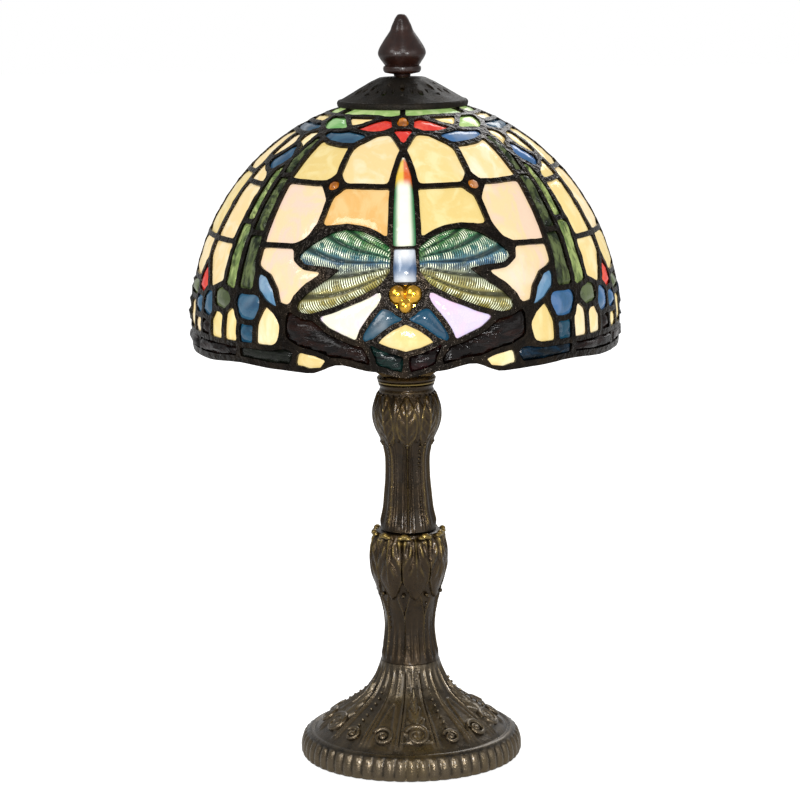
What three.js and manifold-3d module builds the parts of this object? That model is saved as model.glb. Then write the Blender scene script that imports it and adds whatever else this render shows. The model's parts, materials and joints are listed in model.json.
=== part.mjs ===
// A stained glass table lamp: a leaded glass dome with two dragonflies, a pierced cap and a finial. A harp
// carries the shade on a cast column and foot, with a lamp socket and a small globe bulb inside.
// Millimetres, +Z up. The origin is the centre of the underside, and the front faces -Y.
import * as THREE from "three";
import { mergeVertices } from "three/addons/utils/BufferGeometryUtils.js";
import Module from "manifold-3d";

const wasm = await Module();
wasm.setup();

// ---- Driving dimensions ----

const GAP = 0.3; // clearance between pieces that touch
const BORE_GAP = 0.35; // radial clearance of a piece that slips over another

const FOOT = {
  radius: 53.5,
  height: 47,
  wall: 3.2,
  lift: 0.8, // the rim's height over the table, which the felt takes up
  bandHeight: 12.5,
  neckRadius: 13.8,
  bossDepth: 13,
};
const FELT = { thickness: 2.5, lipWidth: 5, ledgeWidth: 4 };
const LOWER_COLUMN = {
  length: 64.7,
  footRadius: 13.8,
  waistRadius: 11.7,
  bulbRadius: 18.2,
  neckRadius: 16,
  lipRadius: 16.7,
};
const UPPER_COLUMN = {
  length: 71,
  footRadius: 13.9,
  waistRadius: 9.9,
  bulbRadius: 16.3,
  neckRadius: 13.2,
  lipRadius: 13.5,
};
const COLUMN_WALL = 3;
const END_PLATE = 4;
const TOP_RING = { radius: 14.2, height: 3.6 };
const PIPE = { radius: 5, boreRadius: 3.6, below: 12, above: 7.2 };
const NUT = { acrossCorners: 17, height: 5 };
const WASHER = { radius: 13.5, height: 1.8 };
const GROMMET = { radius: 3.4, boreRadius: 1.9, flangeRadius: 4.8, flangeHeight: 1.2, inside: 1.5 };

const SADDLE = { thickness: 1.5, width: 15, rise: 11, halfFlat: 11.4, postHeight: 7.5, postRadius: 2 };
const LOCKNUT = { acrossCorners: 16, height: 3 };
const HARP = {
  wireRadius: 2,
  bulbClearance: 8,
  socketClearance: 7.85,
  headroom: 10,
  straight: 24,
  crownClearance: 14.8, // from the crown's opening in to where the wire levels out
};
const SLEEVE = { wall: 1.3, length: 12 };
const STUD = {
  bossRadius: 4.5,
  bossHeight: 3.1,
  flangeRadius: 8,
  flangeHeight: 1.6,
  radius: 2.95,
  length: 14,
};

const SOCKET = {
  radius: 16.6,
  wall: 0.9,
  capHeight: 14.4,
  shellLength: 37.7,
  bodyRadius: 13,
  hubWall: 1.4,
  hubHeight: 6.4,
  beadHeight: 0.7,
};
const SCREW_SHELL = { boreRadius: 13.9, wall: 0.5, floor: 1, length: 21.7, floorBore: 8, belowRim: 2 };
const CONTACT = { radius: 3.5, height: 1.7 };
const KNOB = { shaftRadius: 1.6, radius: 5.5, length: 10, height: 6, bladeWidth: 12.1, bladeThickness: 2.4 };
const BULB = {
  radius: 24,
  capClearance: 0.5,
  capLength: 23.7,
  capWall: 0.7,
  cupHeight: 9,
  neckLength: 13,
  glassWall: 1,
  stemRadius: 3,
  filamentRadius: 0.5,
};

const DOME = { radius: 101, rise: 105.5, skirt: 11.4, skirtTaper: 0.7 };
const LEAD = { proud: 0.6, thickness: 4, crownLip: 1.7 };
const GLASS_THICKNESS = 2.8;
const CROWN_OPENING_RADIUS = 26;
const CAP = {
  radius: 31,
  height: 13.5,
  wall: 1.6,
  topRadius: 11.5,
  bandHeight: 3.6,
  vents: 8,
  ventRadius: 2,
};
const FINIAL = {
  height: 29.2,
  collarRadius: 8.8,
  waistRadius: 7.6,
  bellyRadius: 11.7,
  tipRadius: 3,
  neckRadius: 4,
  lobes: 4,
  lobeDepth: 0.04, // as a share of the radius
};

// ---- Heights that follow, from the table up ----

const lowerColumnBase = FOOT.height + GAP;
const lowerColumnTop = lowerColumnBase + LOWER_COLUMN.length;
const upperColumnBase = lowerColumnTop + GAP;
const upperColumnTop = upperColumnBase + UPPER_COLUMN.length;
const topRingBase = upperColumnTop + GAP;
const topRingTop = topRingBase + TOP_RING.height;
const saddleBase = topRingTop + GAP;
const saddleTop = saddleBase + SADDLE.thickness;
const shoulderHeight = saddleTop + SADDLE.rise;
const postTop = shoulderHeight + SADDLE.postHeight;
const legBase = postTop + GAP;
const locknutBase = saddleTop + GAP;
const locknutTop = locknutBase + LOCKNUT.height;
const pipeTop = locknutTop + PIPE.above;
const socketBase = locknutTop + GAP;
const capRimHeight = socketBase + SOCKET.capHeight;
const shellBase = capRimHeight + GAP;
const shellTop = shellBase + SOCKET.shellLength;
const screwShellBase = shellTop - SCREW_SHELL.belowRim - SCREW_SHELL.length;
const bulbBase = screwShellBase + CONTACT.height + GAP;
const bulbCapTop = bulbBase + BULB.capLength;
const bulbCentre = bulbCapTop + BULB.neckLength + BULB.radius;
const bulbTop = bulbCentre + BULB.radius;
const harpTop = bulbTop + HARP.headroom + 2 * HARP.wireRadius;
const studBase = harpTop + GAP;
const capSeat = studBase + STUD.bossHeight + STUD.flangeHeight + GAP;
const capTop = capSeat + CAP.wall;
const capRim = capTop - CAP.height;
const finialBase = capTop + GAP;

// Radii that follow.
const pipeBore = PIPE.radius + GAP;
const studBore = STUD.radius + BORE_GAP;
const hubRadius = pipeBore + SOCKET.hubWall;
const bulbCapRadius = SCREW_SHELL.boreRadius - BULB.capClearance;
const lipInner = FOOT.radius - FELT.lipWidth - GAP;
const harpHalfWidth = BULB.radius + HARP.bulbClearance + HARP.wireRadius;
const sleeveBore = Math.max(SADDLE.postRadius, HARP.wireRadius) + BORE_GAP;
const sleeveRadius = sleeveBore + SLEEVE.wall;
const legOffset = SOCKET.radius + HARP.socketClearance + HARP.wireRadius;

// The cap's rim rests on the dome, which sets the dome's height.
const seatAngle = Math.acos((CAP.radius - 1) / (DOME.radius + LEAD.proud));
const domeBase = capRim - GAP - (DOME.rise + LEAD.proud) * Math.sin(seatAngle);
const openingAngle = Math.acos(CROWN_OPENING_RADIUS / DOME.radius);
const crownEdgeAngle = Math.acos((CROWN_OPENING_RADIUS - LEAD.crownLip) / DOME.radius);

// ---- Finishes ----

const finish = (color, roughness, metalness, more = {}) =>
  new THREE.MeshStandardMaterial({ color, roughness, metalness, ...more });
const FINISH = {
  bronze: finish(0x3c3226, 0.45, 0.8),
  agedBrass: finish(0x8a6a34, 0.4, 0.9),
  brass: finish(0xb08d4a, 0.35, 1),
  steel: finish(0x8c8c8a, 0.4, 1),
  aluminium: finish(0xb8b9ba, 0.35, 1),
  lead: finish(0x231c12, 0.4, 0.6),
  capMetal: finish(0x2d2823, 0.5, 0.5),
  finialMetal: finish(0x2d1c14, 0.25, 0.3),
  blackResin: finish(0x151413, 0.5, 0),
  rubber: finish(0x1a1918, 0.8, 0),
  felt: finish(0x2b4030, 1, 0),
  frosted: finish(0xfff1d8, 0.4, 0, { transparent: true, opacity: 0.7 }),
  clearGlass: finish(0xe6e6e0, 0.1, 0, { transparent: true, opacity: 0.5 }),
  creamGlass: finish(0xfae4aa, 0.25, 0),
  greenGlass: finish(0xb9dc82, 0.25, 0),
  darkGreenGlass: finish(0x505f3c, 0.3, 0),
  blueGlass: finish(0x3b648c, 0.25, 0),
  brownGlass: finish(0x2e2018, 0.2, 0),
  wingGlass: finish(0x6f8a7a, 0.15, 0),
  bodyGlass: finish(0xcfe6d2, 0.15, 0),
};

// ---- Solids ----

const lamp = new THREE.Group();

function add(name, geometry, material) {
  const mesh = new THREE.Mesh(geometry, material);
  mesh.name = name;
  lamp.add(mesh);
  return mesh;
}

// A closed geometry as a solid for a cut or a join, turned the right way out.
function toSolid(geometry) {
  const bare = new THREE.BufferGeometry().setAttribute("position", geometry.getAttribute("position"));
  bare.setIndex(geometry.index);
  const merged = mergeVertices(bare, 1e-4);
  const vertProperties = merged.attributes.position.array;
  const build = (triVerts) => new wasm.Manifold(new wasm.Mesh({ numProp: 3, vertProperties, triVerts }));
  const triangles = new Uint32Array(merged.index.array);
  const made = build(triangles);
  return made.volume() > 0 ? made : build(triangles.reverse());
}

function toGeometry(solid) {
  const mesh = solid.getMesh();
  const geometry = new THREE.BufferGeometry();
  geometry.setAttribute("position", new THREE.BufferAttribute(new Float32Array(mesh.vertProperties), 3));
  geometry.setIndex(new THREE.BufferAttribute(new Uint32Array(mesh.triVerts), 1));
  return geometry;
}

// The given [radius, height] outline turned about Z. It starts and ends on the axis, or closes on itself.
function turned(outline, segments = 16) {
  const points = outline.map(([radius, height]) => new THREE.Vector2(radius, height));
  const onAxis = points[0].x === 0 && points[points.length - 1].x === 0;
  if (!onAxis) points.push(points[0].clone());
  const area = points.reduce((sum, p, i) => {
    const q = points[(i + 1) % points.length];
    return sum + p.x * q.y - q.x * p.y;
  }, 0);
  if (area < 0) points.reverse();
  return new THREE.LatheGeometry(points, segments).rotateX(Math.PI / 2);
}

const tube = (outer, bore, low, high, segments = 16) =>
  turned([[bore, low], [outer, low], [outer, high], [bore, high]], segments);

const disc = (radius, low, high, segments = 16) =>
  turned([[0, low], [radius, low], [radius, high], [0, high]], segments);

function hexNut(acrossCorners, bore, low, high) {
  const corner = (i) => new THREE.Vector2(1, 0).rotateAround(new THREE.Vector2(), (i * Math.PI) / 3);
  const shape = new THREE.Shape([0, 1, 2, 3, 4, 5].map((i) => corner(i).multiplyScalar(acrossCorners / 2)));
  shape.holes.push(new THREE.Path().absarc(0, 0, bore, 0, 2 * Math.PI, true));
  const nut = new THREE.ExtrudeGeometry(shape, { depth: high - low, bevelEnabled: false, curveSegments: 16 });
  return nut.translate(0, 0, low);
}

// A smooth outline through [share of length, radius] turning points, as [radius, height] pairs.
function waved(turns, low, length, steps) {
  const outline = [];
  turns.slice(1).forEach(([share, radius], i) => {
    const [share0, radius0] = turns[i];
    for (let s = i ? 1 : 0; s <= steps; s++) {
      const blend = (1 - Math.cos((Math.PI * s) / steps)) / 2;
      const at = share0 + ((share - share0) * s) / steps;
      outline.push([radius0 + (radius - radius0) * blend, low + at * length]);
    }
  });
  return outline;
}

// A round bar along a curve.
function bar(curve, radius, steps, sides = 8) {
  const circle = new THREE.Path().absarc(0, 0, radius, 0, 2 * Math.PI);
  const section = new THREE.Shape(circle.getPoints(sides / 2).slice(0, -1));
  return new THREE.ExtrudeGeometry(section, { steps, extrudePath: curve, bevelEnabled: false });
}

// ---- Foot and column ----

function footOutline() {
  const { radius, height, wall, lift, bandHeight, neckRadius, bossDepth } = FOOT;
  const flare = new THREE.CubicBezierCurve(
    new THREE.Vector2(neckRadius, height),
    new THREE.Vector2(neckRadius + 3.7, height - 14),
    new THREE.Vector2(radius - 20.5, bandHeight + 9),
    new THREE.Vector2(radius - 6.5, bandHeight + 1)
  );
  const outside = flare.getPoints(6).reverse().map((p) => [p.x, p.y]);
  const band = [
    [radius - 1.1, lift],
    [radius, lift + 3.7],
    [radius - 0.7, lift + 7.7],
    [radius - 3, bandHeight - 0.5],
    [radius - 4.3, bandHeight + 1],
  ];
  const shelf = height - bossDepth;
  const inside = outside
    .map(([r, z]) => [r - wall, z - wall * 0.6])
    .filter(([r, z]) => z < shelf && r > pipeBore + wall)
    .reverse();
  const ledgeInner = lipInner - FELT.ledgeWidth;
  return [
    ...band,
    ...outside,
    [pipeBore, height],
    [pipeBore, shelf],
    [inside[0][0], shelf],
    ...inside.filter(([r]) => r < ledgeInner),
    [ledgeInner, bandHeight - wall],
    [ledgeInner, FELT.thickness + GAP],
    [lipInner, FELT.thickness + GAP],
    [lipInner, lift],
  ];
}

function castColumn(turns, low, length) {
  const outside = waved(turns, low, length, 3);
  const high = low + length;
  const inside = outside
    .filter(([, z], i) => i % 2 === 0 && z > low + END_PLATE + 1 && z < high - END_PLATE - 1)
    .map(([r, z]) => [Math.max(r - COLUMN_WALL, pipeBore + 0.5), z])
    .reverse();
  return turned([
    ...outside,
    [pipeBore, high],
    [pipeBore, high - END_PLATE],
    [inside[0][0], high - END_PLATE],
    ...inside,
    [inside[inside.length - 1][0], low + END_PLATE],
    [pipeBore, low + END_PLATE],
    [pipeBore, low],
  ]);
}

function buildBase() {
  const cordHeight = FOOT.lift + FOOT.bandHeight / 2;
  const turnToBack = (geometry) => geometry.rotateX(-Math.PI / 2).translate(0, 0, cordHeight);
  const holeRadius = GROMMET.radius + GAP;
  const cordHole = turnToBack(disc(holeRadius, FOOT.radius * 0.6, FOOT.radius * 1.1, 12));
  add("foot", toGeometry(toSolid(turned(footOutline(), 28)).subtract(toSolid(cordHole))), FINISH.bronze);

  add("felt_pad", disc(lipInner - GAP, 0, FELT.thickness, 28), FINISH.felt);

  // A bush in the cord hole, with a flange on the outside of the rim.
  const { radius, boreRadius, flangeRadius, flangeHeight, inside } = GROMMET;
  const face = FOOT.radius + GAP;
  const inner = FOOT.radius - FELT.lipWidth - FELT.ledgeWidth - inside;
  const bush = [
    [boreRadius, inner],
    [radius, inner],
    [radius, face],
    [flangeRadius, face],
    [flangeRadius - 0.6, face + flangeHeight],
    [boreRadius, face + flangeHeight],
  ];
  add("cord_grommet", turnToBack(turned(bush, 12)), FINISH.rubber);

  const shelf = FOOT.height - FOOT.bossDepth;
  const washerTop = shelf - GAP;
  const nutTop = washerTop - WASHER.height - GAP;
  add("base_washer", tube(WASHER.radius, pipeBore, washerTop - WASHER.height, washerTop), FINISH.steel);
  add("base_nut", hexNut(NUT.acrossCorners, pipeBore, nutTop - NUT.height, nutTop), FINISH.brass);
  add("threaded_pipe", tube(PIPE.radius, PIPE.boreRadius, shelf - PIPE.below, pipeTop), FINISH.brass);

  const lower = LOWER_COLUMN;
  const lowerTurns = [
    [0, lower.footRadius],
    [0.25, lower.waistRadius],
    [0.78, lower.bulbRadius],
    [0.93, lower.neckRadius],
    [1, lower.lipRadius],
  ];
  add("lower_column", castColumn(lowerTurns, lowerColumnBase, lower.length), FINISH.bronze);

  const upper = UPPER_COLUMN;
  const upperTurns = [
    [0, upper.footRadius],
    [0.31, upper.waistRadius],
    [0.5, upper.waistRadius],
    [0.8, upper.bulbRadius],
    [0.96, upper.neckRadius],
    [1, upper.lipRadius],
  ];
  add("upper_column", castColumn(upperTurns, upperColumnBase, upper.length), FINISH.bronze);

  const ring = TOP_RING;
  const ringOutline = [
    [pipeBore, topRingBase],
    [ring.radius - 0.8, topRingBase],
    [ring.radius, topRingBase + ring.height * 0.3],
    [ring.radius - 0.3, topRingBase + ring.height * 0.7],
    [ring.radius - 1, topRingTop],
    [pipeBore, topRingTop],
  ];
  add("column_top_ring", turned(ringOutline, 20), FINISH.agedBrass);
}

// ---- Harp ----

function buildHarp() {
  const { thickness, width, rise, halfFlat: flat, postRadius } = SADDLE;
  const outline = [
    [-flat, 0],
    [flat, 0],
    [legOffset, rise],
    [legOffset + postRadius, rise],
    [legOffset + postRadius, rise + thickness],
    [legOffset - postRadius - 1, rise + thickness],
    [flat - thickness, thickness],
    [thickness - flat, thickness],
    [-legOffset + postRadius + 1, rise + thickness],
    [-legOffset - postRadius, rise + thickness],
    [-legOffset - postRadius, rise],
    [-legOffset, rise],
  ];
  const strap = new THREE.Shape(outline.map(([x, z]) => new THREE.Vector2(x, z)));
  const strapBar = new THREE.ExtrudeGeometry(strap, { depth: width, bevelEnabled: false });
  strapBar.translate(0, 0, -width / 2).rotateX(Math.PI / 2).translate(0, 0, saddleBase);
  let saddle = toSolid(strapBar);
  for (const side of [-1, 1]) {
    const post = disc(postRadius, shoulderHeight - thickness / 2, postTop, 12);
    saddle = saddle.add(toSolid(post.translate(side * legOffset, 0, 0)));
  }
  const hole = disc(pipeBore, saddleBase - 5, saddleTop + 5);
  add("harp_saddle", toGeometry(saddle.subtract(toSolid(hole))), FINISH.brass);
  add("locknut", hexNut(LOCKNUT.acrossCorners, pipeBore, locknutBase, locknutTop), FINISH.brass);

  // The wire loop: two straight legs, two bows clear of the bulb, and a level top.
  const { wireRadius, straight, crownClearance } = HARP;
  const crownReach = CROWN_OPENING_RADIUS - crownClearance;
  const top = harpTop - wireRadius;
  const shoulder = legBase + straight;
  const half = [
    new THREE.Vector3(legOffset, 0, legBase),
    new THREE.Vector3(legOffset, 0, legBase + straight / 2),
    new THREE.Vector3(legOffset, 0, shoulder),
    new THREE.Vector3(harpHalfWidth, 0, (shoulder + bulbCentre) / 2 + 6),
    new THREE.Vector3(harpHalfWidth, 0, bulbCentre),
    new THREE.Vector3(crownReach + (harpHalfWidth - crownReach) * 0.66, 0, (bulbCentre * 2 + top * 3) / 5),
    new THREE.Vector3(crownReach, 0, top - 4),
  ];
  const mirrored = half.map((p) => new THREE.Vector3(-p.x, 0, p.z)).reverse();
  const path = new THREE.CatmullRomCurve3([...half, new THREE.Vector3(0, 0, top), ...mirrored]);
  add("harp_loop", bar(path, wireRadius, 32), FINISH.brass);

  for (const [name, side] of [["harp_sleeve_right", 1], ["harp_sleeve_left", -1]]) {
    const low = shoulderHeight + GAP;
    const sleeve = tube(sleeveRadius, sleeveBore, low, low + SLEEVE.length, 12);
    add(name, sleeve.translate(side * legOffset, 0, 0), FINISH.brass);
  }

  const { bossRadius, bossHeight, flangeRadius, flangeHeight, radius, length } = STUD;
  const flangeBase = studBase + bossHeight;
  const flangeTop = flangeBase + flangeHeight;
  const outlineOfStud = [
    [0, studBase],
    [bossRadius, studBase],
    [bossRadius, flangeBase],
    [flangeRadius, flangeBase],
    [flangeRadius, flangeTop],
    [radius, flangeTop],
    [radius, flangeTop + length],
    [0, flangeTop + length],
  ];
  add("harp_stud", turned(outlineOfStud, 12), FINISH.brass);
}

// ---- Socket and bulb ----

function buildSocket() {
  const { radius, wall, hubHeight, bodyRadius, shellLength, beadHeight } = SOCKET;
  const hubTop = socketBase + hubHeight;
  const cap = [
    [pipeBore, socketBase],
    [hubRadius, socketBase],
    [hubRadius + 4, socketBase + 2],
    [radius * 0.85, socketBase + 6],
    [radius, capRimHeight - 4],
    [radius, capRimHeight],
    [radius - wall, capRimHeight],
    [radius - wall, capRimHeight - 3.6],
    [radius * 0.85 - wall, socketBase + 6.8],
    [hubRadius + 3.4, socketBase + 3],
    [hubRadius, socketBase + 3],
    [hubRadius, hubTop],
    [pipeBore, hubTop],
  ];
  add("socket_cap", turned(cap), FINISH.brass);

  const shaftHeight = shellBase + KNOB.height;
  const alongBack = (geometry) => geometry.rotateX(-Math.PI / 2).translate(0, 0, shaftHeight);
  const shaftDepth = bodyRadius * 0.35;
  const shaftBore = () => toSolid(alongBack(disc(KNOB.shaftRadius + GAP, shaftDepth, radius * 1.3, 12)));
  const shell = turned([
    [radius - wall, shellBase],
    [radius, shellBase],
    [radius, shellBase + shellLength * 0.55],
    [radius + beadHeight, shellBase + shellLength * 0.6],
    [radius, shellBase + shellLength * 0.65],
    [radius, shellTop],
    [radius - wall, shellTop],
  ]);
  add("socket_shell", toGeometry(toSolid(shell).subtract(shaftBore())), FINISH.brass);

  const bodyBase = hubTop + GAP;
  const bodyTop = screwShellBase - GAP;
  const body = turned([
    [pipeBore, bodyBase],
    [hubRadius, bodyBase],
    [bodyRadius, bodyBase + 6],
    [bodyRadius, bodyTop],
    [0, bodyTop],
    [0, bodyBase + 6],
    [pipeBore, bodyBase + 3],
  ]);
  add("socket_interior", toGeometry(toSolid(body).subtract(shaftBore())), FINISH.blackResin);

  const { boreRadius, wall: screwWall, floor, length, floorBore } = SCREW_SHELL;
  const screwShell = [
    [floorBore, screwShellBase],
    [boreRadius + screwWall, screwShellBase],
    [boreRadius + screwWall, screwShellBase + length],
    [boreRadius, screwShellBase + length],
    [boreRadius, screwShellBase + floor],
    [floorBore, screwShellBase + floor],
  ];
  add("screw_shell", turned(screwShell), FINISH.aluminium);
  const contact = disc(CONTACT.radius, screwShellBase, screwShellBase + CONTACT.height, 12);
  add("centre_contact", contact, FINISH.brass);

  // The turn knob: a shaft from inside the body, and a grip with a flat blade.
  const shaftStart = shaftDepth + GAP;
  const gripStart = radius + 4;
  const grip = [
    [0, shaftStart],
    [KNOB.shaftRadius, shaftStart],
    [KNOB.shaftRadius, gripStart],
    [KNOB.radius, gripStart],
    [KNOB.radius - 0.6, gripStart + KNOB.length * 0.4],
    [KNOB.shaftRadius + 0.6, gripStart + KNOB.length * 0.5],
    [KNOB.shaftRadius, gripStart + KNOB.length],
    [0, gripStart + KNOB.length],
  ];
  const blade = new THREE.BoxGeometry(KNOB.bladeWidth, KNOB.bladeThickness, KNOB.length * 0.7);
  blade.translate(0, 0, gripStart + KNOB.length * 0.65);
  const knob = toSolid(alongBack(turned(grip, 12))).add(toSolid(alongBack(blade)));
  add("switch_knob", toGeometry(knob), FINISH.blackResin);
}

function buildBulb() {
  const { radius, capWall, cupHeight, neckLength, glassWall, stemRadius, filamentRadius } = BULB;
  const capRadius = bulbCapRadius;
  const cup = bulbBase + cupHeight;
  const cap = [
    [0, bulbBase],
    [4.2, bulbBase],
    [4.6, bulbBase + 1.4],
    [capRadius - 1.5, bulbBase + 5.5],
    [capRadius, bulbBase + 7],
    [capRadius, bulbCapTop],
    [capRadius - capWall, bulbCapTop],
    [capRadius - capWall, cup],
    [0, cup],
  ];
  add("bulb_cap", turned(cap), FINISH.aluminium);

  // The envelope: a straight neck that opens into a globe.
  const neck = capRadius - capWall - GAP;
  const neckBase = cup + 4;
  const envelope = (globe, neckRadius) => {
    const start = Math.PI - Math.asin((neckRadius + 1.4) / globe);
    const arc = [];
    for (let i = 0; i <= 6; i++) {
      const turn = start * (1 - i / 6);
      arc.push([i === 6 ? 0 : globe * Math.sin(turn), bulbCentre + globe * Math.cos(turn)]);
    }
    return [[neckRadius, bulbCapTop + neckLength * 0.3], ...arc];
  };
  const outside = [[neck, neckBase], ...envelope(radius, neck)];
  const inside = [...envelope(radius - glassWall, neck - glassWall).reverse(), [neck - glassWall, neckBase]];
  add("bulb_glass", turned([...outside, ...inside]), FINISH.frosted);

  // The glass mount: a flare in the neck, a stem and the filament on its two supports.
  const flare = turned([
    [0, cup + GAP],
    [neck - 0.4, cup + GAP],
    [neck - 0.8, cup + 2.4],
    [stemRadius, cup + 6],
    [stemRadius, bulbCentre - radius * 0.6],
    [0, bulbCentre - radius * 0.6 + 1.5],
  ], 16);
  const reach = radius * 0.4;
  const hoop = new THREE.CatmullRomCurve3([
    new THREE.Vector3(-stemRadius * 0.5, 0, bulbCentre - radius * 0.7),
    new THREE.Vector3(-reach, 0, bulbCentre - 2),
    new THREE.Vector3(-reach * 0.5, 0, bulbCentre + 4),
    new THREE.Vector3(reach * 0.5, 0, bulbCentre + 4),
    new THREE.Vector3(reach, 0, bulbCentre - 2),
    new THREE.Vector3(stemRadius * 0.5, 0, bulbCentre - radius * 0.7),
  ]);
  const stem = toSolid(flare).add(toSolid(bar(hoop, filamentRadius, 14, 6)));
  add("bulb_stem", toGeometry(stem), FINISH.clearGlass);
}

// ---- Shade ----

// Places on the dome are [azimuth, height] in degrees. Azimuth 0 is the front and 90 the right-hand side.
// Height 0 is the shoulder, PATTERN_TOP the edge of the crown opening, and the skirt reaches PATTERN_FOOT.
const PATTERN_TOP = 75;
const PATTERN_FOOT = -5.7;
const CROWN_EDGE = (PATTERN_TOP * crownEdgeAngle) / openingAngle;

// The scalloped lower edge from the front to a side, as [azimuth, height].
const LOWER_EDGE = [
  [0, -5.7], [8, -4.3], [17, -2.7], [25, -5], [35, -4.8], [47, -4.2], [65, -5.2], [90, -5.2],
];

const radians = THREE.MathUtils.degToRad;

function domePoint(azimuth, height, offset) {
  let radius = DOME.radius + offset;
  let z = domeBase;
  if (height >= 0) {
    const angle = (height * openingAngle) / PATTERN_TOP;
    radius *= Math.cos(angle);
    z += (DOME.rise + offset) * Math.sin(angle);
  } else {
    const share = height / PATTERN_FOOT;
    radius -= DOME.skirtTaper * share;
    z -= DOME.skirt * share;
  }
  const turn = radians(azimuth);
  return new THREE.Vector3(radius * Math.sin(turn), -radius * Math.cos(turn), z);
}

function lowerEdge(azimuth) {
  const folded = Math.abs(((azimuth % 180) + 180) % 180);
  const at = folded > 90 ? 180 - folded : folded;
  const next = Math.max(1, LOWER_EDGE.findIndex(([a]) => a >= at));
  const [a0, h0] = LOWER_EDGE[next - 1];
  const [a1, h1] = LOWER_EDGE[next];
  const blend = (1 - Math.cos((Math.PI * (at - a0)) / (a1 - a0))) / 2;
  return h0 + (h1 - h0) * blend;
}

// A closed shell of the whole dome between two offsets from the glass's outer face.
function domeShell(inner, outer) {
  const columns = 24;
  const rows = [0, 18, 36, 52, 66, CROWN_EDGE];
  const positions = [];
  const index = [];
  for (let c = 0; c < columns; c++) {
    const azimuth = (c * 360) / columns;
    const heights = [lowerEdge(azimuth), ...rows];
    const ring = [
      ...heights.map((h) => domePoint(azimuth, h, outer)),
      ...heights.reverse().map((h) => domePoint(azimuth, h, inner)),
    ];
    ring.forEach((p) => positions.push(p.x, p.y, p.z));
  }
  const around = (rows.length + 1) * 2;
  for (let c = 0; c < columns; c++) {
    for (let r = 0; r < around; r++) {
      const a = c * around + r;
      const b = c * around + ((r + 1) % around);
      const next = ((c + 1) % columns) * around;
      const a2 = next + r;
      const b2 = next + ((r + 1) % around);
      index.push(a, a2, b, b, a2, b2);
    }
  }
  const shell = new THREE.BufferGeometry();
  shell.setAttribute("position", new THREE.Float32BufferAttribute(positions, 3));
  shell.setIndex(index);
  return toSolid(shell);
}

// An outline moved inwards by a distance along the dome, in millimetres.
function inset(outline, distance) {
  const perDegree = radians(1) * DOME.radius;
  const turnsLeft = THREE.ShapeUtils.area(outline.map(([a, h]) => new THREE.Vector2(a, h))) > 0 ? 1 : -1;
  return outline.map(([azimuth, height], i) => {
    const scale = new THREE.Vector2(perDegree * Math.cos(radians(Math.max(height, 0))), perDegree);
    const side = (from, to) =>
      new THREE.Vector2(to[0] - from[0], to[1] - from[1])
        .multiply(scale)
        .normalize()
        .rotateAround(new THREE.Vector2(), (turnsLeft * Math.PI) / 2);
    const before = side(outline[(i + outline.length - 1) % outline.length], outline[i]);
    const after = side(outline[i], outline[(i + 1) % outline.length]);
    const move = before.clone().add(after).multiplyScalar(distance / (1 + Math.max(before.dot(after), -0.5)));
    return [azimuth + move.x / scale.x, height + move.y / scale.y];
  });
}

// Points that break the edge from p to q into short pieces, the same ones from either end.
function pointsBetween(p, q) {
  const longest = 15;
  const turned = p[0] > q[0] || (p[0] === q[0] && p[1] > q[1]);
  const [a, b] = turned ? [q, p] : [p, q];
  const pieces = Math.max(1, Math.ceil(Math.max(Math.abs(b[0] - a[0]), Math.abs(b[1] - a[1])) / longest));
  const points = [];
  for (let s = 1; s < pieces; s++)
    points.push([a[0] + ((b[0] - a[0]) * s) / pieces, a[1] + ((b[1] - a[1]) * s) / pieces]);
  return turned ? points.reverse() : points;
}

const loopOf = (corners) =>
  corners.flatMap((corner, i) => [corner, ...pointsBetween(corner, corners[(i + 1) % corners.length])]);

const areaOf = (outline) => THREE.ShapeUtils.area(outline.map(([a, h]) => new THREE.Vector2(a, h)));

// A wedge through the dome's wall under an outline, from well inside the dome to well outside it.
function wedge(outline) {
  // The walls follow the leading's through its thickness, and then run out past the widest pane's bulge.
  const [near, face, far] = [LEAD.proud - LEAD.thickness - 2, LEAD.proud + 1.5, DOME.radius * 1.2];
  const corners = areaOf(outline) > 0 ? outline : outline.slice().reverse();
  const positions = [];
  const emit = (...points) => {
    for (const [[azimuth, height], offset] of points) {
      const p = domePoint(azimuth, height, offset);
      positions.push(p.x, p.y, p.z);
    }
  };
  const faces = THREE.ShapeUtils.triangulateShape(corners.map(([a, h]) => new THREE.Vector2(a, h)), []);
  for (const face of faces) {
    const ends = face.map((i) => corners[i]);
    const middle = [(ends[0][0] + ends[1][0] + ends[2][0]) / 3, (ends[0][1] + ends[1][1] + ends[2][1]) / 3];
    if (areaOf(ends) < 0) ends.reverse();
    const loop = loopOf(ends);
    loop.forEach((p, i) => {
      const q = loop[(i + 1) % loop.length];
      emit([p, far], [q, far], [middle, far]);
      emit([q, near], [p, near], [middle, near]);
    });
  }
  const rim = loopOf(corners);
  rim.forEach((p, i) => {
    const q = rim[(i + 1) % rim.length];
    for (const [low, high] of [[near, face], [face, far]]) {
      emit([p, low], [q, low], [q, high]);
      emit([p, low], [q, high], [p, high]);
    }
  });
  const geometry = new THREE.BufferGeometry();
  geometry.setAttribute("position", new THREE.Float32BufferAttribute(positions, 3));
  return toSolid(geometry);
}

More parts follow.
